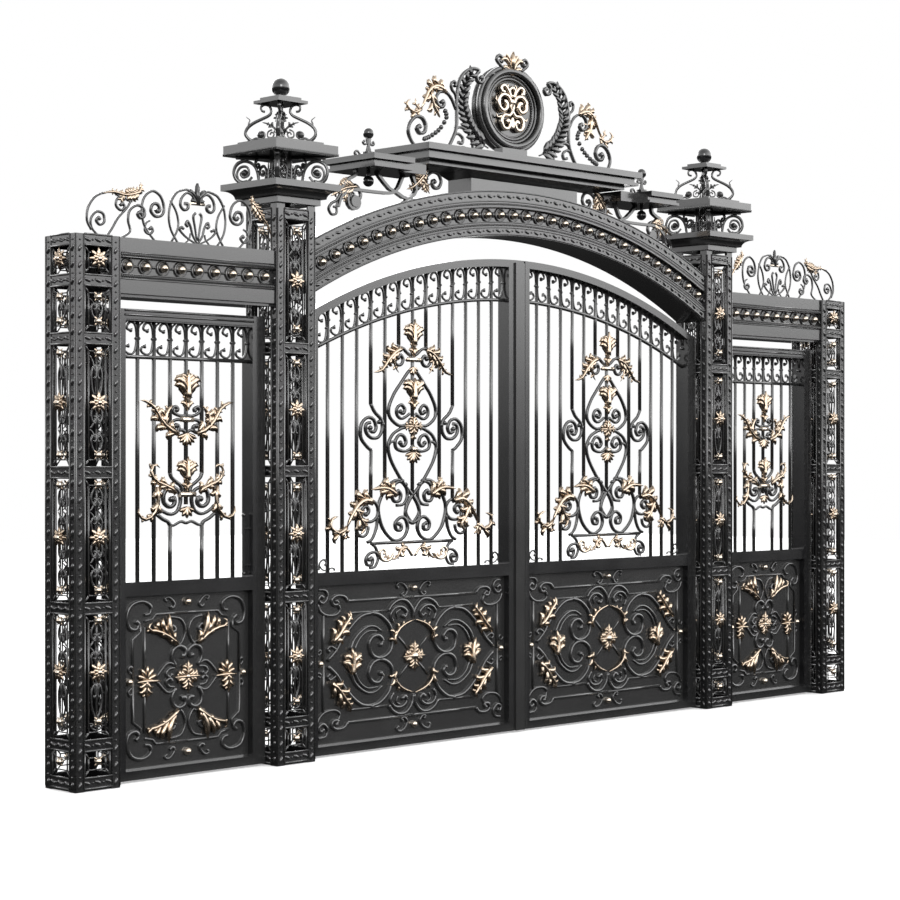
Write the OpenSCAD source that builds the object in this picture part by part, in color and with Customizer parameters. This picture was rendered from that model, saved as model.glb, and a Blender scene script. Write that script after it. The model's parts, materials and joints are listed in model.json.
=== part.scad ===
// Double-leaf driveway gate of forged and cast iron with two side wickets.
// Four openwork box posts carry an arch, two straight lintels and their crests.
// X runs along the gate, Y runs away from the viewer, Z is up.
// The origin is the middle of the foot of the left main pier, on the ground.

/* [Openings] */
// Clear width between the two main piers
main_opening = 3800; // [3400:50:4400]
// Clear width between a main pier and its outer post
wicket_opening = 1140; // [1000:20:1400]

/* [Posts] */
// Width of every post, along the gate
post_w = 300; // [280:5:330]
// Depth of every post, across the gate
post_d = 285; // [270:5:310]
// Height of the outer posts
outer_post_h = 3057; // [3040:1:3060]
// Height of the main piers, up to their caps
main_pier_h = 3346; // [3330:1:3360]
// Width of the corner strips on each face
strip_w = 60; // [50:2:70]
// Thickness of the corner strips and bands
strip_t = 10; // [8:1:14]
// Height of the bands that tie the corner strips
band_h = 62; // [50:2:70]
// Height of the foot below the lowest band
foot_h = 14; // [10:1:20]

/* [Leaves] */
// Depth of the leaf frames
leaf_d = 100; // [80:2:110]
// Face width of the upright stiles
stile_w = 96; // [92:1:100]
// Gap between a leaf and the post that it hangs on
leaf_gap = 10; // [8:1:14]
// Gap between a wicket leaf and the main pier that it closes on
latch_gap = 14; // [13:1:18]
// Gap between the two main leaves, hidden beside the cover strip
meeting_gap = 14; // [14:1:18]
// Width of the cover strip over the meeting gap
astragal_w = 86; // [80:1:86]
// Gap between the leaves and the ground
ground_gap = 12; // [10:1:30]
// Side of the square upright bars
bar_w = 16; // [14:1:20]
// Width of the bent scroll bars
scroll_w = 16; // [14:1:18]
// Height of the middle rail above the ground, at its top edge
mid_rail_top = 1128; // [1060:2:1180]
// Height of the middle rail itself
mid_rail_h = 80; // [60:2:90]
// Height of the bottom rail
bottom_rail_h = 52; // [40:2:70]
// Top of the wicket leaves
wicket_top = 2668; // [2620:2:2690]
// Height of the wicket top rail
wicket_rail_h = 66; // [50:2:80]
// Height of the scroll frieze below the wicket top rail
wicket_frieze_h = 190; // [160:5:220]

/* [Arch] */
// Radius of the top of the arch
arch_r_out = 4315; // [4305:1:4325]
// Radius of the underside of the arch
arch_r_in = 4022; // [4010:1:4030]
// Height of the arch centre, below ground
arch_cz = -721; // [-726:1:-716]
// Depth of the arch and the lintels
beam_d = 260; // [240:5:270]
// Underside of the lintels over the wickets
lintel_z0 = 2728; // [2715:1:2740]
// Top of the lintels over the wickets
lintel_z1 = 3057; // [3040:1:3060]

/* [Hinges] */
// Radius of the hinge pins
pin_r = 12; // [10:1:14]
// Running clearance between pin and knuckle
pin_clear = 0.06; // [0.03:0.01:0.09]
// Outer radius of the hinge knuckles
knuckle_r = 20; // [18:1:22]
// Height of one hinge knuckle
knuckle_h = 90; // [70:5:120]
// Distance of the hinge axis behind the leaf
axis_back = 27; // [25:1:32]
// Distance of the hinge axis from the edge of the leaf
axis_in = 24; // [22:1:30]

/* [Hidden] */

iron = [0.13, 0.13, 0.14];
gilt = [0.80, 0.70, 0.55];

// Distances from the middle of the gate
pier_in = main_opening / 2;
pier_mid = pier_in + post_w / 2;
pier_out = pier_in + post_w;
outer_in = pier_out + wicket_opening;
outer_mid = outer_in + post_w / 2;
gate_mid = pier_mid;

// Edges of the leaves
main_hang = pier_in - leaf_gap;
meet_inner = 101;
meet_left = 45;
meet_right = -meet_left - meeting_gap;
wicket_hang = outer_in - leaf_gap;
wicket_latch = pier_out + latch_gap;
leaf_y = leaf_d / 2;
leaf_axis_y = leaf_y + axis_back;

// The top rail of the main leaves is a flatter arc than the arch
leaf_top_r = 4185;
leaf_top_cz = -1035;
leaf_rail_h = 48;
frieze_rail_r = 4350;
frieze_rail_cz = -1455;
frieze_rail_h = 24;
frieze_rail_d = 40;

main_bays = 14;
wicket_bays = 8;

outer_bands = [251, 1002, 1748, 2485, 2804];
main_bands = [252, 1000, 1749, 2484, 3284];
low_band = foot_h + band_h / 2;
plate_t = 12;
anchor_r = 11;
anchor_x = 90;
anchor_y = 80;

cap_half = 257;
cap_z0 = main_pier_h;
cap_z1 = 3472;
slab_z0 = 3642;
slab_z1 = 3727;
slab_half = 245;
finial_z1 = 3960;
finial_top = 4117;

block_half = 517;
block_y = 106;
cornice_half = 1043;
cornice_y = 250;
cornice_z = 3815;

main_hinge_z = [330, 1250, 2300];
wicket_hinge_z = [330, 1250, 2250];

$fn = 48;

module on_left() {
    translate([gate_mid, 0, 0]) children();
}

module on_right() {
    translate([gate_mid, 0, 0]) mirror([1, 0, 0]) children();
}

// Points of a logarithmic spiral from radius r0 to r1 and angle a0 to a1
function spiral(c, r0, r1, a0, a1, n) = [
    for (i = [0:n])
        let (a = a0 + (a1 - a0) * i / n, r = r0 * pow(r1 / r0, i / n))
        [c[0] + r * cos(a), c[1] + r * sin(a)]
];

function unit(v) = v / norm(v);
function ahead(p, i) = unit(p[min(i + 1, len(p) - 1)] - p[max(i - 1, 0)]);
function beside(p, i, s) = p[i] + s * [-ahead(p, i)[1], ahead(p, i)[0]];

// A flat bar of width w that follows points p in the XZ plane, d deep, middle at y
module stroke(p, w, d, y = 0) {
    n = len(p) - 1;
    translate([0, y + d / 2, 0])
        rotate([90, 0, 0])
            linear_extrude(d)
                polygon(concat(
                    [for (i = [0:n]) beside(p, i, w / 2)],
                    [for (i = [n:-1:0]) beside(p, i, -w / 2)]
                ));
}

// A box between two corners, mirrored in Y about the gate's own plane
module slab(x0, x1, z0, z1, half_y) {
    translate([x0, -half_y, z0]) cube([x1 - x0, 2 * half_y, z1 - z0]);
}

// A disc in the XZ plane, the eye of a scroll
module eye(x, z, r, d, y = 0) {
    translate([x, y + d / 2, z]) rotate([90, 0, 0]) cylinder(r = r, h = d);
}

// A scroll that winds in from radius r0 to its eye
module volute(x, z, r0, a0, turn, w, d, y = 0) {
    r1 = r0 * 0.34;
    stroke(spiral([x, z], r0, r1, a0, a0 + turn, 22), w, d, y);
    eye(x, z, r1 + w / 2, d, y);
}

// One point of the smooth curve from p1 to p2
function between(p0, p1, p2, p3, t) = 0.5 * (
    2 * p1 + (p2 - p0) * t + (2 * p0 - 5 * p1 + 4 * p2 - p3) * t * t
    + (3 * p1 - p0 - 3 * p2 + p3) * t * t * t
);

// A smooth curve through points p, n steps from each point to the next
function smooth(p, n = 3) = concat(
    [
        for (i = [0:len(p) - 2])
            for (k = [0:n - 1])
                between(p[max(i - 1, 0)], p[i], p[i + 1], p[min(i + 2, len(p) - 1)], k / n)
    ],
    [p[len(p) - 1]]
);

// The flat outline of a bent bar of width w along points p
module bent(p, w = scroll_w) {
    n = len(p) - 1;
    polygon(concat(
        [for (i = [0:n]) beside(p, i, w / 2)],
        [for (i = [n:-1:0]) beside(p, i, -w / 2)]
    ));
}

// The flat outline of a scroll that winds in to its eye
module curl(x, z, r0, a0, turn, w = scroll_w) {
    r1 = r0 * 0.34;
    bent(spiral([x, z], r0, r1, a0, a0 + turn, 14), w);
    translate([x, z]) circle(r = r1 + w / 2);
}

// The flat outline of a ring with outer radius r
module hoop(r, w) {
    difference() {
        circle(r = r);
        circle(r = r - w);
    }
}

// Flat outlines in X and Z made d deep, with their middle at y
module upright(d, y = 0) {
    translate([0, y + d / 2, 0]) rotate([90, 0, 0]) linear_extrude(d) children();
}

// The same on both sides of x = 0
module both() {
    children();
    mirror([1, 0]) children();
}

// Part of a ring in the XZ plane, centred on the gate's middle
module ring_sector(r_in, r_out, cz, half_y, x0, x1, z_low) {
    intersection() {
        translate([0, half_y, cz])
            rotate([90, 0, 0])
                difference() {
                    cylinder(r = r_out, h = 2 * half_y, $fn = 240);
                    translate([0, 0, -1]) cylinder(r = r_in, h = 2 * half_y + 2, $fn = 240);
                }
        translate([x0, -half_y - 1, z_low])
            cube([x1 - x0, 2 * half_y + 2, r_out + cz - z_low + 1]);
    }
}

// One corner of a post: two strips at a right angle
module corner_strip(h) {
    translate([-post_w / 2, -post_d / 2, 0]) cube([strip_w, strip_t, h]);
    translate([-post_w / 2, -post_d / 2, 0]) cube([strip_t, strip_w, h]);
}

module band(z) {
    translate([-post_w / 2, -post_d / 2, z - band_h / 2])
        difference() {
            cube([post_w, post_d, band_h]);
            translate([strip_t, strip_t, -1])
                cube([post_w - 2 * strip_t, post_d - 2 * strip_t, band_h + 2]);
        }
}

// The foot plate, inside the corner strips, with four anchor holes
module foot_plate() {
    difference() {
        translate([-post_w / 2 + strip_t, -post_d / 2 + strip_t, 0])
            cube([post_w - 2 * strip_t, post_d - 2 * strip_t, plate_t]);
        for (sx = [-1, 1])
            for (sy = [-1, 1])
                translate([sx * anchor_x, sy * anchor_y, -1])
                    cylinder(r = anchor_r, h = plate_t + 2);
    }
}

// An openwork box post: four corners, bands and foot plate
module post(h, bands) {
    for (mx = [0, 1])
        for (my = [0, 1])
            mirror([mx, 0, 0]) mirror([0, my, 0]) corner_strip(h);
    for (z = concat([low_band], bands)) band(z);
    foot_plate();
}

module outer_post() {
    color(iron)
        translate([-outer_mid, 0, 0]) {
            post(outer_post_h, concat(outer_bands, [outer_post_h - band_h / 2]));
            slab(-post_w / 2, post_w / 2, outer_post_h - 6, outer_post_h, post_d / 2);
        }
}

module main_pier() {
    color(iron) translate([-pier_mid, 0, 0]) post(main_pier_h, main_bands);
}

// Half outline of a square moulding: a neck, a hollow flare and a flat plate
function flare_outline(neck, r0, r1, z0, z1, lip) = concat(
    [[0, z0], [neck, z0], [neck, z0 + lip]],
    [for (a = [0:15:90]) [r1 - (r1 - r0) * cos(a), z0 + lip + (z1 - z0 - 2 * lip) * sin(a)]],
    [[r1, z1], [0, z1]]
);

module square_moulding(outline) {
    intersection_for (turn = [0, 90])
        rotate([0, 0, turn])
            translate([0, 300, 0])
                rotate([90, 0, 0])
                    linear_extrude(600) {
                        polygon(outline);
                        mirror([1, 0]) polygon(outline);
                    }
}

module pier_cap() {
    color(iron)
        translate([-pier_mid, 0, 0])
            square_moulding(flare_outline(170, 195, cap_half, cap_z0, cap_z1, 38));
}

// Four scrolls at the corners and a middle column between the two slabs
module cap_lantern() {
    h = slab_z0 - cap_z1;
    zc = cap_z1 + h / 2;
    color(iron)
        translate([-pier_mid, 0, 0]) {
            translate([-70, -70, cap_z1]) cube([140, 140, h]);
            for (turn = [45:90:315])
                rotate([0, 0, turn]) {
                    volute(235, zc - 8, 62, 90, 400, 16, 46);
                    volute(135, zc + 22, 34, 90, -360, 12, 40);
                    stroke([[60, slab_z0 - 18], [235, slab_z0 - 18]], 28, 46);
                    stroke([[60, cap_z1 + 10], [250, cap_z1 + 10]], 20, 46);
                }
        }
}

module cap_slab() {
    color(iron)
        translate([-pier_mid, 0, 0]) {
            slab(-slab_half, slab_half, slab_z0, slab_z1 - 22, slab_half);
            slab(-184, 184, slab_z0, slab_z1, 184);
        }
}

// Four lyre scrolls, a stem, a small slab and the ball
module finial() {
    top0 = finial_z1;
    color(iron)
        translate([-pier_mid, 0, 0]) {
            translate([0, 0, slab_z1]) cylinder(r = 26, h = finial_z1 - slab_z1);
            translate([0, 0, slab_z1 + 60]) sphere(r = 42);
            for (turn = [45:90:315])
                rotate([0, 0, turn]) {
                    volute(165, slab_z1 + 46, 44, 0, -400, 14, 24);
                    stroke(spiral([118, slab_z1 + 150], 92, 80, -28, 128, 14), 16, 24);
                    volute(80, top0 - 46, 34, 90, 380, 12, 24);
                    stroke([[10, slab_z1 + 8], [180, slab_z1 + 8]], 16, 24);
                }
            slab(-116, 116, top0, top0 + 18, 116);
            slab(-88, 88, top0, top0 + 36, 88);
            translate([0, 0, top0 + 36]) cylinder(r = 34, h = 40);
            translate([0, 0, finial_top - 57]) sphere(r = 57);
        }
}

// A straight beam over a wicket with a recessed middle band on both faces
module lintel() {
    y = beam_d / 2;
    rec = 90;
    zc = (lintel_z0 + 17 + lintel_z1) / 2;
    color(iron) {
        slab(-outer_in, -pier_out, lintel_z0, lintel_z1, y - 25);
        slab(-outer_in, -pier_out, zc + rec / 2, lintel_z1, y);
        slab(-outer_in, -pier_out, lintel_z0 + 17, zc - rec / 2, y);
    }
}

// The scroll crest over a lintel, cut off by the main pier on its inner side
module lintel_crest() {
    color(iron)
        translate([-2770, -107, lintel_z1])
            upright(24) {
                translate([-765, 0]) square([1331, 14]);
                both() {
                    translate([58, 75]) hoop(68, 14);
                    translate([168, 150]) hoop(90, 14);
                    translate([290, 130]) hoop(125, 14);
                    translate([290, 130]) hoop(60, 14);
                    translate([290, 222]) square([14, 70], center = true);
                    translate([78, 255]) hoop(52, 16);
                }
                translate([-480, 110]) hoop(108, 14);
                translate([-520, 245]) hoop(52, 14);
                translate([-675, 96]) hoop(92, 14);
                translate([-700, 96]) hoop(62, 14);
                translate([-12, 130]) square([24, 225]);
                translate([-50, 236]) square([100, 16]);
                translate([0, 315]) circle(r = 46);
            }
}

module arch() {
    y = beam_d / 2;
    color(iron) {
        ring_sector(arch_r_in + 6, arch_r_out, arch_cz, y - 25, -pier_in, pier_in, 2500);
        ring_sector(4202, arch_r_out, arch_cz, y, -pier_in, pier_in, 2500);
        ring_sector(arch_r_in, 4112, arch_cz, y, -pier_in, pier_in, 2500);
    }
}

// The plain block between the arch and the cornice, and the splay on its top
module frieze_block() {
    z = cornice_z - 120;
    color(iron) {
        difference() {
            slab(-block_half, block_half, 3420, z - 46, block_y);
            translate([0, 200, arch_cz])
                rotate([90, 0, 0]) cylinder(r = arch_r_out, h = 400, $fn = 240);
        }
        hull() {
            slab(-block_half, block_half, z - 46, z - 45, block_y);
            slab(-block_half - 50, block_half + 50, z - 1, z, block_y + 50);
        }
    }
}

module centre_cornice() {
    z = cornice_z;
    color(iron) {
        slab(-cornice_half, cornice_half, z - 40, z, cornice_y);
        slab(-cornice_half + 40, cornice_half - 40, z - 70, z - 40, cornice_y - 40);
        slab(-cornice_half + 20, cornice_half - 20, z - 92, z - 70, cornice_y - 20);
        slab(-cornice_half + 90, cornice_half - 90, z - 120, z - 92, cornice_y - 90);
        slab(-560, 560, z, z + 22, 90);
    }
}

// A small two-step shelf beside the main cornice, with its brackets and balls
module side_cornice() {
    z = 3703;
    ball_x = -1330;
    color(iron) {
        slab(-1502, -1154, z - 34, z, 240);
        slab(-1470, -1154, z - 60, z - 34, 205);
        slab(-1482, -1154, z - 78, z - 60, 222);
        slab(-1154, -951, z - 78, z - 10, 131);
        difference() {
            upright(30) {
                bent(smooth([[-1030, z - 70], [-1110, 3515], [-1240, 3600], [-1260, z - 70]]), 18);
                bent(smooth([[-1110, 3515], [-1190, 3500], [-1580, 3500]]), 18);
                bent(smooth([[-1110, 3520], [-1000, 3480], [-920, 3540], [-960, z - 60]]), 18);
                bent(smooth([[-1440, z - 70], [-1445, 3590], [-1520, 3550], [-1560, 3505]]), 18);
                curl(-1450, 3425, 78, 90, 400, 16);
                bent(smooth([[-1480, 3500], [-1560, 3450], [-1590, 3380]]), 16);
            }
            translate([0, 200, arch_cz])
                rotate([90, 0, 0]) cylinder(r = arch_r_out, h = 400, $fn = 240);
        }
        translate([ball_x, 0, z]) cylinder(r = 40, h = 40);
        translate([ball_x, 0, z + 36]) cylinder(r = 12, h = 100);
        translate([ball_x, 0, z + 157]) sphere(r = 34);
        translate([ball_x, 0, z - 110]) cylinder(r = 12, h = 40);
        translate([ball_x, 0, z - 140]) sphere(r = 34);
    }
}

// The oval shield at the top, with its fleur
module cartouche() {
    zc = 4168;
    y = 15;
    color(iron) {
        upright(110, y) translate([0, zc]) scale([300 / 275, 1]) circle(r = 275, $fn = 96);
        slab(-150, 150, cornice_z + 22, zc - 250, 30);
        upright(40, y)
            both() {
                bent(smooth([[0, zc + 265], [90, zc + 280], [130, zc + 325], [95, zc + 350]]));
                curl(112, zc + 312, 36, 90, -300);
            }
    }
    color(gilt)
        upright(36, y) {
            bent(smooth([[0, zc + 265], [0, zc + 382]]), 40);
            translate([0, zc + 330]) circle(r = 50);
            bent([[-110, zc + 290], [110, zc + 290]], 24);
        }
}

// The scrolls at one side of the shield, standing on the cornice
module crest_scroll() {
    z = cornice_z;
    color(iron)
        upright(36) {
            translate([-760, z]) square([150, 24]);
            bent(smooth([[-650, z + 11], [-600, z + 60], [-548, z + 165], [-545, z + 330],
                [-520, z + 485], [-400, z + 570], [-330, z + 556]]), 26);
            curl(-330, z + 520, 44, 110, 320);
            bent(smooth([[-548, z + 200], [-520, z + 160], [-410, z + 125], [-300, z + 100]]), 22);
            bent(smooth([[-545, z + 330], [-600, z + 375], [-680, z + 385], [-740, z + 330],
                [-700, z + 280], [-660, z + 310]]), 24);
            bent(smooth([[-740, z + 330], [-640, z + 235], [-690, z + 155], [-800, z + 75],
                [-920, z + 35], [-980, z + 115], [-960, z + 165], [-880, z + 200],
                [-800, z + 165]]), 26);
            curl(-880, z + 130, 62, 90, 380);
            translate([-950, z]) square([50, 60]);
        }
}

// Pins on bracket arms, fixed to a post at x = edge
module pins(edge, axis_x, levels) {
    arm = 14;
    color(iron)
        for (z = levels)
            translate([0, 0, z]) {
                translate([axis_x, leaf_axis_y, 0]) cylinder(r = pin_r, h = 2 * arm + knuckle_h);
                for (dz = [0, knuckle_h + arm])
                    translate([0, 0, dz]) {
                        translate([min(edge, axis_x), leaf_axis_y - 14, 0])
                            cube([abs(edge - axis_x), 28, arm]);
                        translate([axis_x, leaf_axis_y, 0]) cylinder(r = 17, h = arm);
                    }
            }
}

module main_pins() {
    pins(-pier_in, -main_hang + axis_in, main_hinge_z);
}

module wicket_pins() {
    pins(-outer_in, -wicket_hang + axis_in, wicket_hinge_z);
}

// The bored knuckles on the back of a leaf
module knuckles(axis_x, levels) {
    for (z = levels)
        translate([axis_x, leaf_axis_y, z + 15])
            difference() {
                union() {
                    cylinder(r = knuckle_r, h = knuckle_h - 2);
                    translate([-10, -axis_back, 0]) cube([50, axis_back, knuckle_h - 2]);
                }
                translate([0, 0, -1]) cylinder(r = pin_r + pin_clear, h = knuckle_h);
            }
}

// The frame of a main leaf, up to x = edge on the meeting side
module main_frame(edge) {
    y = leaf_y;
    x0 = -main_hang;
    color(iron) {
        intersection() {
            union() {
                slab(x0, x0 + stile_w, ground_gap, 3400, y);
                slab(-meet_inner, edge, ground_gap, 3400, y);
            }
            translate([0, y + 1, leaf_top_cz])
                rotate([90, 0, 0]) cylinder(r = leaf_top_r, h = 2 * y + 2, $fn = 240);
        }
        ring_sector(leaf_top_r - leaf_rail_h, leaf_top_r, leaf_top_cz, y, x0, edge, 2600);
        slab(x0, edge, ground_gap, ground_gap + bottom_rail_h, y);
        slab(x0, edge, mid_rail_top - mid_rail_h, mid_rail_top, y);
        knuckles(x0 + axis_in, main_hinge_z);
    }
}

// Facing rings and a ball that fill one bay of a frieze between z0 and z1
module frieze_bay(x, z0, z1, pitch) {
    r = pitch / 4;
    translate([x, 0])
        both() {
            translate([r, z1 - r + 3]) hoop(r - 3, 9);
            translate([r, z0 + r - 3]) hoop(r - 3, 9);
            translate([r, (z0 + z1) / 2]) circle(r = r - 4);
        }
}

// Outline of the upright bars of a main leaf; u is the bar's distance from the middle
module bar(u, z0, z1) {
    translate([u - bar_w / 2, z0]) square([bar_w, z1 - z0]);
}

module main_bars(pitch, z_top) {
    bar(0, 1604, z_top);
    both() {
        bar(pitch, 2530, z_top);
        bar(2 * pitch, 1690, z_top);
        bar(3 * pitch, 2150, z_top);
        bar(3 * pitch, 1560, 1890);
        for (i = [4:6]) bar(i * pitch, mid_rail_top, z_top);
    }
}

// Scrolls of a main leaf, between and over its bars
module main_scrolls(p) {
    both() {
        bent(smooth([[p, 2545], [170, 2515], [230, 2480], [p * 2, 2400]]), 30);
        bent(smooth([[0, 2480], [80, 2525], [p, 2540]]));
        curl(p, 2455, 44, 90, 380);
        bent(smooth([[160, 2440], [80, 2400], [0, 2440]]), 26);
        bent(smooth([[0, 2390], [45, 2365], [150, 2250], [210, 2140], [110, 2035], [0, 2045]]));
        curl(95, 2125, 44, 200, 380);
        bent(smooth([[50, 2125], [0, 2110]]), 16);
        bent(smooth([[0, 2030], [110, 2015], [215, 1900], [180, 1800], [p, 1720], [75, 1670],
            [0, 1600], [-50, 1540], [-62, 1480], [-40, 1430], [0, 1415]]));
        curl(100, 1925, 50, 0, 380);
        bent(smooth([[150, 1935], [215, 1900]]), 12);
        bent(smooth([[p, 1530], [50, 1600], [p, 1690], [230, 1640], [300, 1500], [250, 1390],
            [150, 1305], [45, 1380], [100, 1450], [145, 1410], [115, 1385]]));
        bent(smooth([[p, 1530], [165, 1570], [130, 1605]]));
        bent(smooth([[402, 1450], [440, 1500], [370, 1560], [300, 1479], [310, 1380],
            [400, 1293]]));
        curl(440, 1393, 50, 90, -380);
        bent(smooth([[390, 1564], [500, 1520], [545, 1470], [490, 1390]]), 40);
        bent([[0, 1293], [400, 1293]], 16);
        bent(smooth([[350, 1293], [300, 1207], [350, 1143], [395, 1180], [360, 1200]]));
        bent(smooth([[0, 1160], [80, 1220], [160, 1150], [240, 1220], [300, 1190]]), 20);
        bent(smooth([[3 * p, 1880], [450, 1990], [370, 2085], [325, 2030], [355, 2005]]));
        bent(smooth([[3 * p, 2165], [265, 2050], [310, 1955], [400, 2000], [365, 2035]]));
        bent(smooth([[2 * p, 1700], [300, 1640], [3 * p, 1570]]), 30);
    }
    translate([0, 1460]) bent([[0, -45], [0, 60]]);
}

// One bay between the thin rail and the top rail of a main leaf
module main_frieze_bay(x, pitch) {
    frieze_bay(x, arc_z(frieze_rail_r, frieze_rail_cz, x) - 4,
        arc_z(leaf_top_r - leaf_rail_h, leaf_top_cz, x) + 4, pitch);
}

// Bars, frieze and scrolls of a main leaf, fused where they cross
module main_grille() {
    x0 = -main_hang + stile_w;
    x1 = -meet_inner;
    pitch = (x1 - x0) / main_bays;
    xc = (x0 + x1) / 2;
    color(iron) {
        intersection() {
            upright(bar_w) {
                translate([xc, 0]) main_bars(pitch, 3300);
                translate([xc, 0]) main_scrolls(pitch);
                for (i = [0:main_bays - 1]) main_frieze_bay(x0 + (i + 0.5) * pitch, pitch);
            }
            translate([0, leaf_d, leaf_top_cz])
                rotate([90, 0, 0])
                    cylinder(r = leaf_top_r - leaf_rail_h, h = 2 * leaf_d, $fn = 240);
        }
        ring_sector(frieze_rail_r - frieze_rail_h, frieze_rail_r, frieze_rail_cz,
            frieze_rail_d / 2, x0, x1, 2400);
    }
}

// Height of an arc of radius r about [0, cz] at distance x
function arc_z(r, cz, x) = cz + sqrt(r * r - x * x);

// Relief on both faces of a lower panel, h high and w wide
module panel_relief(w, h) {
    r = min(h * 0.285, w * 0.2);
    both() {
        bent(smooth([[0, -95], [75, 0], [0, 95]]), 60);
        mirror([0, 1]) bent(smooth([[30, 20], [w * 0.13, 175], [0, 235]]), 26);
        bent(smooth([[30, 20], [w * 0.13, 175], [0, 235]]), 26);
        for (m = [0, 1])
            mirror([0, m]) {
                curl(w * 0.055, h * 0.27, 60, 200, 400);
                curl(w * 0.23, h * 0.1, 88, 0, -400);
                curl(w / 2 - 66, h * 0.41, 50, 180, 380);
                bent(smooth([[w * 0.43, h * 0.14], [w * 0.41, h * 0.27],
                    [w * 0.34, h * 0.32]]), 40);
            }
    }
    for (s = [-1, 1])
        translate([s * w * 0.24, 0])
            difference() {
                circle(r = r);
                circle(r = r - 18);
            }
}

module lower_panel(x0, x1) {
    z0 = ground_gap + bottom_rail_h;
    z1 = mid_rail_top - mid_rail_h;
    color(iron) {
        slab(x0, x1, z0, z1, 12);
        upright(44) translate([(x0 + x1) / 2, (z0 + z1) / 2]) panel_relief(x1 - x0, z1 - z0);
    }
}

module main_panel() {
    lower_panel(-main_hang + stile_w, -meet_inner);
}

// The cover strip on the meeting stile of the left leaf
module astragal() {
    color(iron)
        translate([meet_left - 4 - astragal_w, -leaf_y - 13, ground_gap])
            cube([astragal_w, 13, 3120]);
}

module wicket_frame() {
    y = leaf_y;
    x0 = -wicket_hang;
    x1 = -wicket_latch;
    color(iron) {
        slab(x0, x0 + stile_w, ground_gap, wicket_top, y);
        slab(x1 - stile_w, x1, ground_gap, wicket_top, y);
        slab(x0, x1, wicket_top - wicket_rail_h, wicket_top, y);
        slab(x0, x1, ground_gap, ground_gap + bottom_rail_h, y);
        slab(x0, x1, mid_rail_top - mid_rail_h, mid_rail_top, y);
        knuckles(x0 + axis_in, wicket_hinge_z);
    }
}

module wicket_bars(p, z_top) {
    both() {
        bar(p, 1740, z_top);
        bar(p, mid_rail_top, 1444);
        for (i = [2:3]) bar(i * p, mid_rail_top, z_top);
    }
    bar(0, 1560, z_top);
}

// Scrolls of a wicket leaf, between and over its bars
module wicket_scrolls(p) {
    both() {
        bent(smooth([[0, 2165], [70, 2120], [75, 2090], [0, 2050]]));
        curl(80, 2010, 40, 90, 380);
        bent(smooth([[60, 1975], [170, 2050], [240, 2120], [320, 2158]]), 30);
        bent(smooth([[0, 2046], [80, 2050], [p, 2010]]), 16);
        bent(smooth([[0, 1925], [65, 1940], [100, 1985]]), 22);
        bent(smooth([[p, 1745], [70, 1690], [0, 1650]]));
        curl(p, 1592, 70, 100, 380);
        bent(smooth([[0, 1617], [60, 1640], [p, 1662], [180, 1640]]), 18);
        bent(smooth([[180, 1640], [212, 1700], [212, 1792]]), 26);
        bent(smooth([[180, 1620], [228, 1567], [295, 1475], [345, 1533]]), 26);
        bent(smooth([[212, 1508], [150, 1470], [p, 1440]]));
        bent(smooth([[212, 1508], [228, 1560]]));
        bent(smooth([[0, 1475], [50, 1500], [p, 1525]]), 24);
    }
}

module wicket_grille() {
    x0 = -wicket_hang + stile_w;
    x1 = -wicket_latch - stile_w;
    xc = (x0 + x1) / 2;
    pitch = (x1 - x0) / wicket_bays;
    z1 = wicket_top - wicket_rail_h;
    z0 = z1 - wicket_frieze_h;
    color(iron) {
        upright(bar_w)
            translate([xc, 0]) {
                wicket_bars(pitch, z1);
                wicket_scrolls(pitch);
            }
        slab(x0, x1, z0 - frieze_rail_h, z0, frieze_rail_d / 2);
        upright(bar_w - 4)
            for (i = [0:wicket_bays - 1])
                frieze_bay(x0 + (i + 0.5) * pitch, z0 - 2, z1 - 1, pitch);
    }
}

module wicket_panel() {
    lower_panel(-wicket_hang + stile_w, -wicket_latch - stile_w);
}

// An upright pull beside the latch stile, held by two stubs
module wicket_handle() {
    x = -wicket_latch - stile_w;
    color(iron) {
        translate([x - 28, 0, 1145]) cylinder(r = 8, h = 345);
        for (z = [1192, 1408])
            translate([x - 28, 0, z]) rotate([0, 90, 0]) cylinder(r = 7, h = 28);
        for (z = [1145, 1490]) translate([x - 28, 0, z]) sphere(r = 13);
    }
}

on_left() outer_post();  // outer_post_left
on_right() outer_post();  // outer_post_right
on_left() main_pier();  // main_pier_left
on_right() main_pier();  // main_pier_right
on_left() pier_cap();  // pier_cap_left
on_right() pier_cap();  // pier_cap_right
on_left() cap_lantern();  // cap_lantern_left
on_right() cap_lantern();  // cap_lantern_right
on_left() cap_slab();  // cap_slab_left
on_right() cap_slab();  // cap_slab_right
on_left() finial();  // finial_left
on_right() finial();  // finial_right
on_left() lintel();  // lintel_left
on_right() lintel();  // lintel_right
on_left() lintel_crest();  // lintel_crest_left
on_right() lintel_crest();  // lintel_crest_right
on_left() arch();
on_left() frieze_block();
on_left() centre_cornice();
on_left() side_cornice();  // side_cornice_left
on_right() side_cornice();  // side_cornice_right
on_left() cartouche();
on_left() crest_scroll();  // crest_scroll_left
on_right() crest_scroll();  // crest_scroll_right
on_left() main_pins();  // main_pins_left
on_right() main_pins();  // main_pins_right
on_left() wicket_pins();  // wicket_pins_left
on_right() wicket_pins();  // wicket_pins_right
on_left() main_frame(meet_left);  // main_frame_left
on_right() main_frame(meet_right);  // main_frame_right
on_left() main_grille();  // main_grille_left
on_right() main_grille();  // main_grille_right
on_left() main_panel();  // main_panel_left
on_right() main_panel();  // main_panel_right
on_left() astragal();
on_left() wicket_frame();  // wicket_frame_left
on_right() wicket_frame();  // wicket_frame_right
on_left() wicket_grille();  // wicket_grille_left
on_right() wicket_grille();  // wicket_grille_right
on_left() wicket_panel();  // wicket_panel_left
on_right() wicket_panel();  // wicket_panel_right
on_left() wicket_handle();  // wicket_handle_left
on_right() wicket_handle();  // wicket_handle_right
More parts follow.
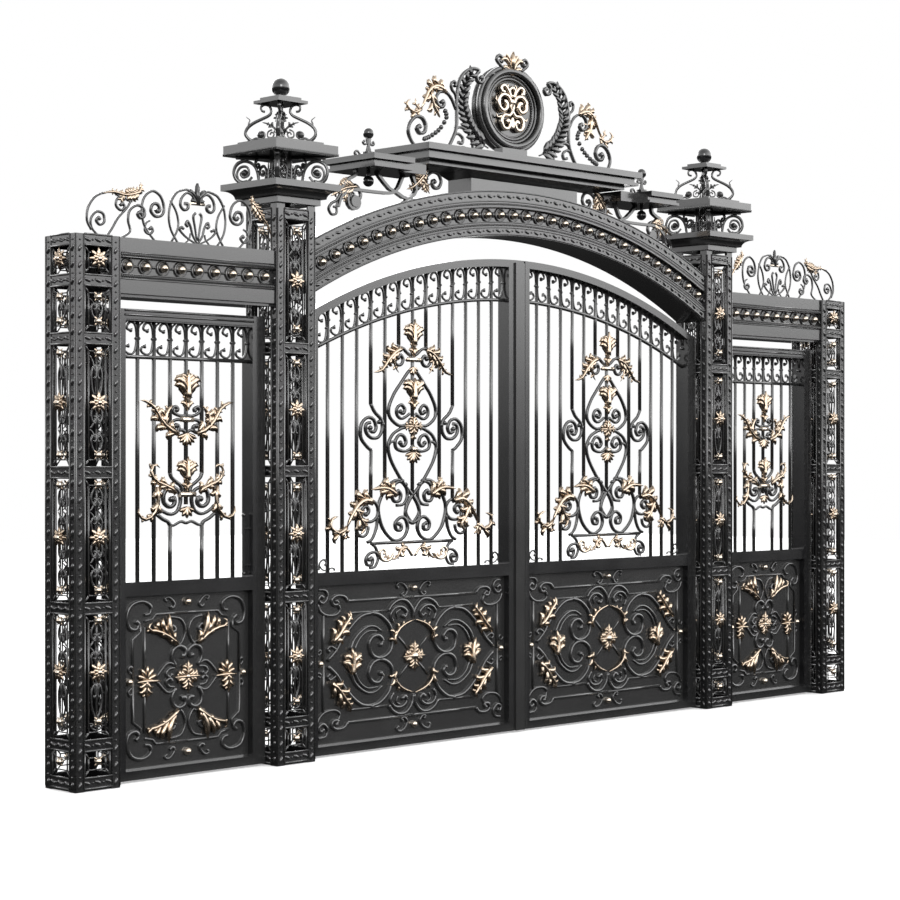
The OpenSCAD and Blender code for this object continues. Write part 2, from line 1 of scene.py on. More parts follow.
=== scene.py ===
# %% [markdown]
# # A forged driveway gate
# The gate is ironwork twice over: a plain skeleton of posts, beams and leaves that carries the
# load, and a skin of scrolls, studs and gilded leaves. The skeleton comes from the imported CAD
# model and keeps its exact size. Everything that is built here hangs on it, so every position
# below starts from a node's box.

# %% Load the frame
import json
import math

import bpy
import numpy as np
from mathutils import Matrix, Vector


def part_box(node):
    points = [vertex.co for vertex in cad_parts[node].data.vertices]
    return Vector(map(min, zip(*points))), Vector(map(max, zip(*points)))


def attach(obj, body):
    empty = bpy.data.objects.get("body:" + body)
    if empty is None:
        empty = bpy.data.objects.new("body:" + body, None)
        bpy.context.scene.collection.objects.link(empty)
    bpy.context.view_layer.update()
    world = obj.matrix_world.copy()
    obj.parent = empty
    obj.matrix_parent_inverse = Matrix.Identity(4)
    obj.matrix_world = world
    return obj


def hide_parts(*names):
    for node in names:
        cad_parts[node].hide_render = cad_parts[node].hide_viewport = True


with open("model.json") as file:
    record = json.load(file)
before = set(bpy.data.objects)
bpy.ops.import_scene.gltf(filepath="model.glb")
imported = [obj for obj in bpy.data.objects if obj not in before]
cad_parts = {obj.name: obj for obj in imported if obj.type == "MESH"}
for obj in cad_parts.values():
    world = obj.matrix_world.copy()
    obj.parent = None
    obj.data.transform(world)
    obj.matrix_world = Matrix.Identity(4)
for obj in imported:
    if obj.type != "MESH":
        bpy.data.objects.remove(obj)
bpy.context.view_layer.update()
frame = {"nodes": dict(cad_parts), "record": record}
MID = (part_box("main_pier_left")[0].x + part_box("main_pier_right")[1].x) / 2
print("middle of the gate at x =", round(MID, 4))

# %% [markdown]
# ## Camera, floor and light
# The gate is seen from the left at eye height, with a long lens. A big soft light high in front
# puts a grey sheen on the upper faces of the black paint. The lower faces mirror a darker
# horizon, as paint does outdoors, so the surroundings fade from pale above to dark below.

# %% Camera
camera = bpy.data.objects.new("camera", bpy.data.cameras.new("camera"))
bpy.context.collection.objects.link(camera)
camera.location = (-8.3957, -9.8119, 1.8225)
camera.rotation_euler = (math.radians(90), 0, math.radians(-45.08))
camera.data.lens = 85.5
camera.data.sensor_width = 36
camera.data.shift_y = 0.01
camera.data.clip_end = 200
bpy.context.scene.camera = camera
print("camera height", camera.location.z)


# %% Floor, surroundings and lamps
def lamp(name, place, target, size, power):
    light = bpy.data.lights.new(name, "AREA")
    light.shape = "RECTANGLE"
    light.size, light.size_y = size
    light.energy = power
    holder = bpy.data.objects.new(name, light)
    holder.location = place
    holder.rotation_euler = (Vector(target) - Vector(place)).to_track_quat("-Z", "Y").to_euler()
    bpy.context.collection.objects.link(holder)


def add_node(tree, kind, inputs=(), **settings):
    """A node in a tree, with its settings and its input values."""
    node = tree.nodes.new(kind)
    for key, value in settings.items():
        setattr(node, key, value)
    for key, value in dict(inputs).items():
        node.inputs[key].default_value = value
    return node


def wire(tree, *rows):
    """Links, each given as a node, its output, the next node and its input."""
    for source, output, target, socket in rows:
        tree.links.new(source.outputs[output], target.inputs[socket])


bpy.ops.mesh.primitive_plane_add(size=60, location=(MID, 0, -0.002))
floor = bpy.context.object
floor.name = "floor"
pale = bpy.data.materials.new("pale_floor")
pale.use_nodes = True
for label, value in (("Base Color", (0.9, 0.9, 0.9, 1)), ("Roughness", 0.9),
                     ("Emission Color", (1, 1, 1, 1)), ("Emission Strength", 0.35)):
    pale.node_tree.nodes["Principled BSDF"].inputs[label].default_value = value
floor.data.materials.append(pale)
floor.visible_glossy = floor.visible_diffuse = False
lamp("key", (-7, -10, 8), (MID, 0, 2.6), (5, 4), 500)
lamp("back", (3, 9, 7), (MID, 0, 2), (8, 4), 300)


def surroundings():
    """White where the camera looks. For everything else, a dark ground, a bright band above the
    horizon that is weaker on the left, and a softer top."""
    world = bpy.data.worlds.new("studio")
    world.use_nodes = True
    tree = world.node_tree
    light = tree.nodes["Background"]
    seen = add_node(tree, "ShaderNodeBackground", {"Color": (1, 1, 1, 1)})
    mix = add_node(tree, "ShaderNodeMixShader")
    path = add_node(tree, "ShaderNodeLightPath")
    place = add_node(tree, "ShaderNodeTexCoord")
    split = add_node(tree, "ShaderNodeSeparateXYZ")
    centre = add_node(tree, "ShaderNodeMapRange", {"From Min": -1})
    side = add_node(tree, "ShaderNodeMapRange",
                    {"From Min": -0.8, "From Max": 0.3, "To Min": 1.5, "To Max": 3.4})
    ramp = add_node(tree, "ShaderNodeValToRGB")
    rows = [(0.48, 0.008), (0.508, 0.05), (0.565, 1.0), (0.72, 0.7), (0.95, 0.3)]
    while len(ramp.color_ramp.elements) < len(rows):
        ramp.color_ramp.elements.new(0.5)
    for element, (position, value) in zip(ramp.color_ramp.elements, rows):
        element.position = position
        element.color = (value, value, value, 1)
    wire(tree, (place, "Generated", split, 0), (split, "Z", centre, "Value"),
         (split, "X", side, "Value"), (centre, "Result", ramp, "Fac"),
         (ramp, "Color", light, "Color"), (side, "Result", light, "Strength"),
         (path, "Is Camera Ray", mix, "Fac"), (light, 0, mix, 1), (seen, 0, mix, 2),
         (mix, 0, tree.nodes["World Output"], "Surface"))
    return world


bpy.context.scene.world = surroundings()
bpy.context.scene.view_settings.view_transform = "Standard"

# %% [markdown]
# ## Finishes
# Everything is painted iron or gilded iron. Brushed paint is never one flat colour: it has a
# fine orange-peel grain and it thins on the edges. Those effects are shared, so each is a
# shader group that is built once.


# %% Shared effects
def shader_group(name, outputs, inputs):
    group = bpy.data.node_groups.new(name, "ShaderNodeTree")
    for label, value in inputs:
        socket = group.interface.new_socket(label, in_out="INPUT", socket_type="NodeSocketFloat")
        socket.default_value = value
    for label in outputs:
        group.interface.new_socket(label, in_out="OUTPUT", socket_type="NodeSocketFloat")
    return group, group.nodes.new("NodeGroupInput"), group.nodes.new("NodeGroupOutput")


def paint_grain():
    group, start, end = shader_group("paint_grain", ["Patches", "Grain"], [("Grain Size", 300)])
    place = add_node(group, "ShaderNodeTexCoord")
    patches = add_node(group, "ShaderNodeTexNoise", {"Scale": 3.5, "Detail": 4})
    grain = add_node(group, "ShaderNodeTexNoise", {"Detail": 2})
    wire(group, (place, "Object", patches, "Vector"), (place, "Object", grain, "Vector"),
         (start, "Grain Size", grain, "Scale"), (patches, "Fac", end, "Patches"),
         (grain, "Fac", end, "Grain"))
    return group


def edge_wear():
    group, start, end = shader_group("edge_wear", ["Edges"], [("Sharpness", 14)])
    bend = add_node(group, "ShaderNodeNewGeometry")
    lift = add_node(group, "ShaderNodeMath", {1: 0.52}, operation="SUBTRACT")
    scale = add_node(group, "ShaderNodeMath", operation="MULTIPLY", use_clamp=True)
    wire(group, (bend, "Pointiness", lift, 0), (lift, 0, scale, 0),
         (start, "Sharpness", scale, 1), (scale, 0, end, "Edges"))
    return group


GRAIN, WEAR = paint_grain(), edge_wear()
print("shared effects:", GRAIN.name, WEAR.name)


# %% Materials
def finish(name, dark, light, worn, roughness, metallic=0.0, coat=0.0, grain=300, bump=0.08):
    """Paint or gilding: patches between two tones, worn edges, and a fine grain."""
    material = bpy.data.materials.new(name)
    material.use_nodes = True
    tree = material.node_tree
    shader = tree.nodes["Principled BSDF"]
    for label, value in (("Metallic", metallic), ("Coat Weight", coat), ("Coat Roughness", 0.12),
                         ("Specular IOR Level", 0.8)):
        shader.inputs[label].default_value = value
    group = add_node(tree, "ShaderNodeGroup", node_tree=GRAIN)
    group.inputs["Grain Size"].default_value = grain
    wear = add_node(tree, "ShaderNodeGroup", node_tree=WEAR)
    tone = add_node(tree, "ShaderNodeMix", {6: (*dark, 1), 7: (*light, 1)}, data_type="RGBA")
    edge = add_node(tree, "ShaderNodeMix", {7: (*worn, 1)}, data_type="RGBA")
    rough = add_node(tree, "ShaderNodeMapRange",
                     {"To Min": roughness - 0.06, "To Max": roughness + 0.08})
    relief = add_node(tree, "ShaderNodeBump", {"Strength": bump, "Distance": 0.001})
    wire(tree, (group, "Patches", tone, 0), (wear, "Edges", edge, 0), (tone, 2, edge, 6),
         (edge, 2, shader, "Base Color"), (group, "Patches", rough, "Value"),
         (rough, "Result", shader, "Roughness"), (group, "Grain", relief, "Height"),
         (relief, "Normal", shader, "Normal"))
    return material


BLACK = finish("black_paint", (0.005, 0.005, 0.0055), (0.010, 0.010, 0.011),
               (0.03, 0.03, 0.03), 0.22, coat=0.8)
CAST = finish("cast_black", (0.005, 0.005, 0.0055), (0.010, 0.010, 0.011), (0.04, 0.04, 0.04),
              0.24, coat=0.8, grain=180, bump=0.12)
GREY = finish("grey_paint", (0.36, 0.36, 0.37), (0.44, 0.44, 0.45), (0.5, 0.5, 0.5), 0.42)
GILT = finish("gilt", (0.50, 0.39, 0.29), (0.72, 0.60, 0.48), (0.90, 0.80, 0.68), 0.24,
              metallic=1.0, grain=220, bump=0.12)
STEEL = finish("pin_steel", (0.2, 0.2, 0.21), (0.3, 0.3, 0.31), (0.5, 0.5, 0.5), 0.35,
               metallic=1.0, grain=400)
FINISH = {"black_paint": BLACK, "cast_black": CAST, "grey_paint": GREY, "gilt": GILT,
          "pin_steel": STEEL}
for row in frame["record"]["subparts"]:
    data = frame["nodes"][row["node"]].data
    data.materials.clear()
    data.materials.append(FINISH[row["material_slot"]])
print("finishes:", sorted(FINISH))

# %% [markdown]
# ## A bent bar as a tree of nodes
# A smith makes a scroll by drawing out a square bar and bending it round a form. The model does
# the same: a chain of edges is the bar's middle line, an attribute holds its width at each point,
# and one Geometry Nodes tree turns the line into a bar. The lines lie flat in X and Y with the
# curve normals held upright, which keeps the bar from twisting, and the last step stands it up.


# %% The bar tree
def new_tree(name, sockets):
    tree = bpy.data.node_groups.new(name, "GeometryNodeTree")
    tree.interface.new_socket("Geometry", in_out="INPUT", socket_type="NodeSocketGeometry")
    for label, kind, value in sockets:
        socket = tree.interface.new_socket(label, in_out="INPUT", socket_type=kind)
        if value is not None:
            socket.default_value = value
    tree.interface.new_socket("Geometry", in_out="OUTPUT", socket_type="NodeSocketGeometry")
    return tree, tree.nodes.new("NodeGroupInput"), tree.nodes.new("NodeGroupOutput")


def named(tree, label, kind="FLOAT"):
    return add_node(tree, "GeometryNodeInputNamedAttribute", {"Name": label}, data_type=kind)


def finish_tree(tree, start, end, result):
    real = add_node(tree, "GeometryNodeRealizeInstances")
    paint = add_node(tree, "GeometryNodeSetMaterial")
    wire(tree, (result, 0, real, 0), (real, 0, paint, "Geometry"),
         (start, "Material", paint, "Material"), (paint, 0, end, 0))


def bar_tree():
    tree, start, end = new_tree("bent_bar", [
        ("Depth", "NodeSocketFloat", 1.0),
        ("Corner", "NodeSocketFloat", 0.18),
        ("Material", "NodeSocketMaterial", None),
    ])
    width = named(tree, "width")
    curve = add_node(tree, "GeometryNodeMeshToCurve")
    normal = add_node(tree, "GeometryNodeSetCurveNormal", mode="Z_UP")
    radius = add_node(tree, "GeometryNodeSetCurveRadius")
    outline = add_node(tree, "GeometryNodeCurvePrimitiveQuadrilateral", {"Width": 1})
    corner = add_node(tree, "GeometryNodeFilletCurve", mode="POLY")
    bar = add_node(tree, "GeometryNodeCurveToMesh", {"Fill Caps": True})
    stand = add_node(tree, "GeometryNodeTransform", {"Rotation": (math.pi / 2, 0, 0)})
    wire(tree, (start, "Geometry", curve, "Mesh"), (curve, 0, normal, "Curve"),
         (normal, 0, radius, "Curve"), (width, "Attribute", radius, "Radius"),
         (start, "Depth", outline, "Height"), (outline, 0, corner, "Curve"),
         (start, "Corner", corner, "Radius"), (radius, 0, bar, "Curve"),
         (corner, 0, bar, "Profile Curve"), (width, "Attribute", bar, "Scale"),
         (bar, 0, stand, "Geometry"))
    finish_tree(tree, start, end, stand)
    return tree


BAR = bar_tree()
print("tree", BAR.name, "with", len(BAR.nodes), "nodes")

# %% [markdown]
# A second tree sets one small shape on many points, such as studs, beads, petals and leaves.
# Each point carries the turn and the size of its copy.


# %% The scatter tree
def scatter_tree():
    tree, start, end = new_tree("set_on_points", [
        ("Shape", "NodeSocketObject", None),
        ("Material", "NodeSocketMaterial", None),
    ])
    shape = add_node(tree, "GeometryNodeObjectInfo")
    copies = add_node(tree, "GeometryNodeInstanceOnPoints")
    turn = add_node(tree, "FunctionNodeEulerToRotation")
    wire(tree, (start, "Geometry", copies, "Points"), (start, "Shape", shape, "Object"),
         (shape, "Geometry", copies, "Instance"),
         (named(tree, "turn", "FLOAT_VECTOR"), "Attribute", turn, 0),
         (turn, 0, copies, "Rotation"),
         (named(tree, "size", "FLOAT_VECTOR"), "Attribute", copies, "Scale"))
    finish_tree(tree, start, end, copies)
    return tree


SCATTER = scatter_tree()


def run_tree(mesh, tree, values):
    """The tree's result on a mesh, as a plain mesh."""
    holder = bpy.data.objects.new("working", mesh)
    bpy.context.collection.objects.link(holder)
    modifier = holder.modifiers.new(tree.name, "NODES")
    modifier.node_group = tree
    for item in tree.interface.items_tree:
        if item.in_out == "INPUT" and item.name in values:
            modifier[item.identifier] = values[item.name]
    graph = bpy.context.evaluated_depsgraph_get()
    result = bpy.data.meshes.new_from_object(holder.evaluated_get(graph), depsgraph=graph)
    bpy.data.objects.remove(holder)
    result.materials.clear()
    result.materials.append(values["Material"])
    result.polygons.foreach_set("material_index", [0] * len(result.polygons))
    return result


print("tree", SCATTER.name, "with", len(SCATTER.nodes), "nodes")


# %% [markdown]
# ## Lines that a smith would draw
# A bar is given by a few points in millimetres and a width that may taper. A smooth curve goes
# through the points, and a scroll ends in a thick eye. Gilded acanthus is built up from lobes
# with a raised ridge: a frond is a stem whose lobes rise beside it and curl outwards.


# %% Bars and leaves
def smooth(points, n=4, closed=False):
    p = np.array(points, float)
    if closed:
        p = np.vstack([p[-1], p, p[0], p[1]])
    else:
        p = np.vstack([2 * p[0] - p[1], p, 2 * p[-1] - p[-2]])
    out = []
    for i in range(1, len(p) - 2):
        a, b, c, d = p[i - 1:i + 3]
        for t in np.arange(n) / n:
            out.append(0.5 * (2 * b + (c - a) * t + (2 * a - 5 * b + 4 * c - d) * t * t
                              + (3 * b - a - 3 * c + d) * t ** 3))
    if not closed:
        out.append(p[-2])
    return np.array(out)


def line(points, w, w1=None, y=0.0, n=4, closed=False, straight=False):
    """A bar of width w, or one that tapers from w to w1, through [x, z] points."""
    p = np.array(points, float) if straight else smooth(points, n, closed)
    widths = np.linspace(w, w if w1 is None else w1, len(p))
    return {"p": p, "w": widths, "y": np.full(len(p), float(y)), "closed": closed}


def rod(points, w, w1=None, y=0.0):
    """A bar that is bent sharply at each point, or not at all."""
    return line(points, w, w1, y, straight=True)


def ring(x, z, r, w, y, n, rz):
    a = np.arange(n) * 2 * math.pi / n
    p = np.stack([x + r * np.cos(a), z + rz * np.sin(a)], 1)
    return {"p": p, "w": np.full(n, float(w)), "y": np.full(n, float(y)), "closed": True}


def finger(points, width, y=0.0, shape=(0.35, 0.62, 0.86, 1, 0.95, 0.66, 0.1)):
    """One fleshy lobe with a raised ridge, as rows of three points: left, ridge and right."""
    p = smooth(points, 6)
    rows = np.linspace(0, len(p) - 1, len(shape)).round().astype(int)
    places, heights = [], []
    for i, swell in zip(rows, shape):
        ahead = p[min(i + 1, len(p) - 1)] - p[max(i - 1, 0)]
        across = np.array([-ahead[1], ahead[0]]) / np.hypot(*ahead) * width * swell / 2
        places += [p[i] + across, p[i], p[i] - across]
        heights += [y, y - width * (0.16 + 0.24 * swell), y]
    return {"p": np.array(places), "y": np.array(heights), "rows": len(shape),
            "back": y + 0.12 * width, "closed": False}


def frond(points, width, lobes=4, y=0.0, sides=(1, 1)):
    """An acanthus leaf: a stem, and lobes that rise beside it and curl outwards."""
    spine = smooth(points, 8)
    n = len(spine) - 1
    stem = (0.9, 1, 0.95, 0.9, 0.8, 0.72, 0.62, 0.5, 0.06)
    out = [finger(points, width * 0.40, y - 0.10 * width, stem)]
    for k in range(lobes):
        t = 0.04 + 0.80 * k / lobes
        i = min(int(t * n), n - 1)
        ahead = (spine[i + 1] - spine[i]) / np.hypot(*(spine[i + 1] - spine[i]))
        size = width * (0.52 + 0.34 * math.sin(math.pi * min(1, t * 1.5 + 0.2)) - 0.22 * t)
        for s, share in ((1, sides[0]), (-1, sides[1])):
            if not share:
                continue
            out_way = np.array([-ahead[1], ahead[0]]) * s * share
            path = [spine[i] + size * (f * ahead + g * out_way)
                    for f, g in ((0, 0.04), (0.42, 0.22), (0.74, 0.50), (0.66, 0.86))]
            out.append(finger(path, 0.62 * size, y - 0.03 * width * (k % 2)))
    return out


def plume(x, z, height, half):
    """An upright leaf with a pointed tip and a waist above its foot."""
    waist, middle = z + height * 0.30, z + height * 0.6
    out = frond([[x, waist], [x, middle], [x, z + height]], half * 1.5)
    out += frond([[x, z], [x, z + height * 0.22], [x, z + height * 0.5]], half * 0.8, 2, -2)
    return out + [finger([[x, z - 6], [x, waist], [x, middle]], half * 0.5, -4)]


def fan(x, z, up, half, ribs, w, spread=75, turn=0):
    """A shell: ribs that open from [x, z] like a hand, each ending in a rounded lobe."""
    out = []
    for side in np.linspace(-1, 1, ribs):
        a = math.radians(90 - spread * side + turn)
        way = np.array([math.cos(a), math.sin(a)])
        reach = math.hypot(up * way[1], half * way[0])
        start = np.array([x, z])
        out.append(finger([start, start + 0.5 * reach * way * [0.8, 1], start + reach * way], w,
                          0, (0.35, 0.55, 0.8, 1.0, 1.1, 1.0, 0.4)))
    return out


def both(strokes):
    """The strokes and their mirror image about x = 0."""
    return [t for s in strokes for t in (s, {**s, "p": s["p"] * [-1, 1]})]


def shifted(strokes, x=0.0, z=0.0, y=0.0, flip_z=None):
    out = []
    for s in strokes:
        p = s["p"].copy()
        if flip_z is not None:
            p[:, 1] = 2 * flip_z - p[:, 1]
        out.append({**s, "p": p + [x, z], "y": s["y"] + y, "back": s.get("back", 0) + y})
    return out


def joined(meshes):
    points, faces, paints, slots, shades = [], [], [], [], []
    for mesh in meshes:
        first = sum(len(p) for p in points)
        co = np.empty(len(mesh.vertices) * 3)
        mesh.vertices.foreach_get("co", co)
        points.append(co.reshape(-1, 3))
        material = mesh.materials[0]
        if material not in slots:
            slots.append(material)
        for f in mesh.polygons:
            faces.append([first + v for v in f.vertices])
            paints.append(slots.index(material))
            shades.append(f.use_smooth)
    out = bpy.data.meshes.new("joined")
    out.from_pydata(np.concatenate(points).tolist(), [], faces)
    out.polygons.foreach_set("material_index", paints)
    out.polygons.foreach_set("use_smooth", shades)
    for material in slots:
        out.materials.append(material)
    return out


def leaf_mesh(leaf, material):
    """A closed shell from rows of three points and a flat back."""
    points, faces = [], []
    p, y, n = leaf["p"] / 1000, leaf["y"] / 1000, leaf["rows"]
    for i in range(n):
        points += [(p[k][0], y[k], p[k][1]) for k in range(3 * i, 3 * i + 3)]
        points.append((p[3 * i + 1][0], leaf["back"] / 1000, p[3 * i + 1][1]))
    for i in range(n - 1):
        for k in range(4):
            a, b = 4 * i + k, 4 * i + (k + 1) % 4
            faces.append((a, b, b + 4, a + 4))
    faces += [(3, 2, 1, 0), tuple(range(4 * n - 4, 4 * n))]
    across, along = p[2] - p[0], p[4] - p[1]
    if across[0] * along[1] - across[1] * along[0] > 0:
        faces = [f[::-1] for f in faces]
    mesh = bpy.data.meshes.new("leaf")
    mesh.from_pydata(points, [], faces)
    mesh.polygons.foreach_set("use_smooth", [True] * len(faces))
    mesh.materials.append(material)
    return mesh


def forge(strokes, material, depth=1.0):
    """All strokes as one mesh of bars. Millimetres in, metres out."""
    points, edges, widths = [], [], []
    leaves = [leaf_mesh(s, material) for s in strokes if "rows" in s]
    for s in strokes:
        if "rows" in s:
            continue
        first = len(points)
        n = len(s["p"])
        points += [(a[0] / 1000, a[1] / 1000, -b / 1000) for a, b in zip(s["p"], s["y"])]
        widths += list(np.array(s["w"]) / 1000)
        edges += [(first + i, first + i + 1) for i in range(n - 1)]
        if s["closed"]:
            edges.append((first + n - 1, first))
    mesh = bpy.data.meshes.new("lines")
    mesh.from_pydata(points, edges, [])
    mesh.attributes.new("width", "FLOAT", "POINT").data.foreach_set("value", widths)
    bars = run_tree(mesh, BAR, {"Depth": depth, "Corner": 0.18 * min(1, depth),
                                "Material": material})
    return joined([bars] + leaves) if leaves else bars


test = forge([ring(0, 0, 60, 16, 0, 16, 60)], BLACK)
print("a test ring has", len(test.polygons), "faces, box",
      [round(v, 3) for v in np.ptp([v.co for v in test.vertices], axis=0)])


# %% [markdown]
# ## Small cast shapes
# Studs, beads, balls, rosettes and laurel leaves are cast, and the gate has hundreds of them, so
# each has only a few dozen faces. They are made once, round the origin, and set on points.


# %% Shapes to set on points
def shape_object(name, points, faces):
    mesh = bpy.data.meshes.new(name)
    mesh.from_pydata(points, [], faces)
    mesh.polygons.foreach_set("use_smooth", [True] * len(mesh.polygons))
    return bpy.data.objects.new(name, mesh)


def turned_shape(name, outline, sides, closed=True):
    """An outline [radius, height] turned round the -Y axis, so that it stands out of a wall."""
    points, faces = [], []
    for r, h in outline:
        for k in range(sides):
            a = 2 * math.pi * k / sides
            points.append((r * math.cos(a), -h, r * math.sin(a)))
    for i in range(len(outline) - 1):
        for k in range(sides):
            a, b = i * sides + k, i * sides + (k + 1) % sides
            faces.append((a, b, b + sides, a + sides))
    if closed:
        faces.append(tuple(range(sides))[::-1])
    faces.append(tuple(range((len(outline) - 1) * sides, len(outline) * sides)))
    return shape_object(name, points, faces)


BALL = turned_shape("ball", [(math.sin(a), -math.cos(a)) for a in np.linspace(0.04, 3.10, 6)], 10)
STUD = turned_shape("stud", [(1.0, 0), (0.84, 0.6), (0.3, 0.9)], 6, closed=False)
RINGED = turned_shape("ringed_stud", [(1.0, 0), (0.98, 0.22), (0.82, 0.25), (0.72, 0.04),
                                      (0.5, 0.05), (0.46, 0.3), (0.3, 0.48), (0.05, 0.52)], 12)


def petal_shape():
    """A pointed cupped leaf, one unit long in Z, standing off a wall."""
    rows = [(0.0, 0.10, 0.10), (0.4, 0.27, 0.22), (0.78, 0.18, 0.18), (1.0, 0.02, 0.04)]
    points, faces = [], []
    for z, w, h in rows:
        points += [(-w, 0, z), (-w / 2, -h, z), (0, -h * 0.6, z), (w / 2, -h, z), (w, 0, z),
                   (0, 0.02, z)]
    for i in range(len(rows) - 1):
        for k in range(6):
            a, b = i * 6 + k, i * 6 + (k + 1) % 6
            faces.append((a, a + 6, b + 6, b))
    faces.append(tuple(range(6)))
    faces.append(tuple(range(18, 24))[::-1])
    return shape_object("petal", points, faces)


PETAL = petal_shape()


def scatter(shape, rows, material):
    """Copies of a shape: each row is x, y, z, size, and optionally a turn in degrees."""
    mesh = bpy.data.meshes.new("points")
    mesh.from_pydata([(r[0] / 1000, r[1] / 1000, r[2] / 1000) for r in rows], [], [])
    turns, sizes = [], []
    for r in rows:
        size = r[3] if isinstance(r[3], (tuple, list)) else (r[3],) * 3
        sizes += [v / 1000 for v in size]
        turn = r[4] if len(r) > 4 else (0, 0, 0)
        turns += [math.radians(v) for v in turn]
    mesh.attributes.new("turn", "FLOAT_VECTOR", "POINT").data.foreach_set("vector", turns)
    mesh.attributes.new("size", "FLOAT_VECTOR", "POINT").data.foreach_set("vector", sizes)
    return run_tree(mesh, SCATTER, {"Shape": shape, "Material": material})


def rosette(x, y, z, r):
    """Rows for the petals and the middle of a rosette that faces -Y."""
    outer = [(x, y, z, (r * 0.9, r * 0.8, r), (0, 45 * k, 0)) for k in range(8)]
    inner = [(x, y - r * 0.12, z, (r * 0.7, r * 0.8, r * 0.62), (0, 45 * k + 22, 0))
             for k in range(8)]
    return outer + inner


print("shapes:", [(o.name, len(o.data.polygons)) for o in (BALL, STUD, RINGED, PETAL)])


# %% [markdown]
# ## Joining, turning and mirroring
# The right half of the gate is the mirror image of the left. A mirrored mesh has its faces turned
# round again, so that they still point outwards. One piece joins all the meshes of one kind on
# one body, and keeps the paint of each.


# %% Piece helpers
def moved(mesh, matrix):
    out = mesh.copy()
    out.transform(matrix)
    if matrix.determinant() < 0:
        out.flip_normals()
    return out


def mirrored(mesh):
    return moved(mesh, Matrix.Translation((2 * MID, 0, 0)) @ Matrix.Scale(-1, 4, (1, 0, 0)))


def box_mesh(x0, x1, y0, y1, z0, z1, material):
    """A box from millimetre limits, for plain fillets and lips."""
    x0, x1, y0, y1, z0, z1 = (v / 1000 for v in (x0, x1, y0, y1, z0, z1))
    mesh = bpy.data.meshes.new("box")
    mesh.from_pydata([(x, y, z) for x in (x0, x1) for y in (y0, y1) for z in (z0, z1)], [],
                     [(0, 1, 3, 2), (4, 6, 7, 5), (0, 4, 5, 1), (2, 3, 7, 6), (0, 2, 6, 4),
                      (1, 5, 7, 3)])
    mesh.materials.append(material)
    return mesh


TOTAL = {"triangles": 0}


def piece(name, meshes, body, replaces=()):
    mesh = joined(meshes)
    mesh.name = name
    mesh.validate()
    obj = bpy.data.objects.new(name, mesh)
    bpy.context.collection.objects.link(obj)
    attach(obj, body)
    if replaces:
        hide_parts(*replaces)
    count = sum(len(f.vertices) - 2 for f in mesh.polygons)
    TOTAL["triangles"] += count
    print(f"{name}: {count} triangles")


def pair(name, meshes, bodies, replaces=()):
    """A piece on the left and its mirror image on the right."""
    sides = ("left", "right")
    for side, body in zip(sides, bodies):
        parts = meshes if side == "left" else [mirrored(m) for m in meshes]
        piece(f"{name}_{side}", parts, body, [f"{r}_{side}" for r in replaces])


ROOT = ("root", "root")
MAIN = ("main_leaf_left", "main_leaf_right")
WICKET = ("wicket_left", "wicket_right")
HOME = Matrix.Translation((MID, 0, 0))
TURN_ROUND = Matrix.Scale(-1, 4, (0, 1, 0))
print("bodies:", *ROOT[:1], *MAIN, *WICKET)

# %% [markdown]
# ## The grille of a main leaf
# Square bars stand between the middle rail and the arched top rail. Some stop short and are bent
# into the ornament, which is symmetric about the middle of the leaf. The bars' heights follow
# from the two arcs: the underside of the top rail and the thin rail below the frieze.

# %% Bars and frieze of a main leaf
LEAF_X, LEAF_EDGES, PITCH, BAR_W = -947.5, (-1794, -101), 120.93, 21
RAIL_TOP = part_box("main_grille_left")[0].z * 1000


TOP_ARC, THIN_ARC = (-1035, 4137), (-1455, 4338)
FRIEZE_H = 190


def rail(arc, x):
    """The height of an arched rail, from its centre's height and its radius."""
    return arc[0] + math.sqrt(arc[1] ** 2 - x * x)


def main_bars():
    out = []
    for i in range(-6, 7):
        x = LEAF_X + i * PITCH
        low = {0: 1600, 1: 2545, 2: 1690, 3: 2165}.get(abs(i), RAIL_TOP - 2)
        out.append(rod([[x, low], [x, rail(TOP_ARC, x) + 4]], BAR_W))
        if abs(i) == 3:
            out.append(rod([[x, 1560], [x, 1880]], BAR_W))
    return out


def frieze_scrolls(x, z0, z1):
    m, h = (z0 + z1) / 2, (z1 - z0) / 2
    c = line([[x + a, m + b] for a, b in (
        (14, h - 50), (-10, h - 46), (-16, h - 30), (2, h - 8), (30, h - 8), (48, h - 36),
        (52, 0), (44, 40 - h), (28, 12 - h), (0, 5 - h), (-30, 22 - h), (-28, 46 - h),
        (-6, 52 - h))], 13, n=3)
    c["w"][[0, 1, -2, -1]] = 26, 18, 18, 26
    return [c, line([[x - 54, m + 20], [x - 46, z1 - 26], [x - 18, z1 - 3]], 10, n=2)]


def main_frieze():
    out, balls = [], []
    for i in range(14):
        x = LEAF_X + (i - 6.5) * PITCH
        z0, z1 = rail(THIN_ARC, x) + 12, rail(TOP_ARC, x)
        out += frieze_scrolls(x, z0, z1)
        balls += [(x + s * 50, 0, (z0 + z1) / 2, 11) for s in (-1, 1)]
    xs = np.linspace(*LEAF_EDGES, 25)
    out.append(rod([[x, rail(THIN_ARC, x)] for x in xs], 22))
    return out, balls


bars = main_bars()
frieze, frieze_balls = main_frieze()
print(len(bars), "bars and", len(frieze), "frieze bars in a main leaf")

# %% [markdown]
# The middle ornament is a column of scrolls: a horned crown, a spade, a heart that closes below
# in a teardrop, a lyre with side scrolls, and a base with a running scroll. Each is one bent bar,
# given for one side only.


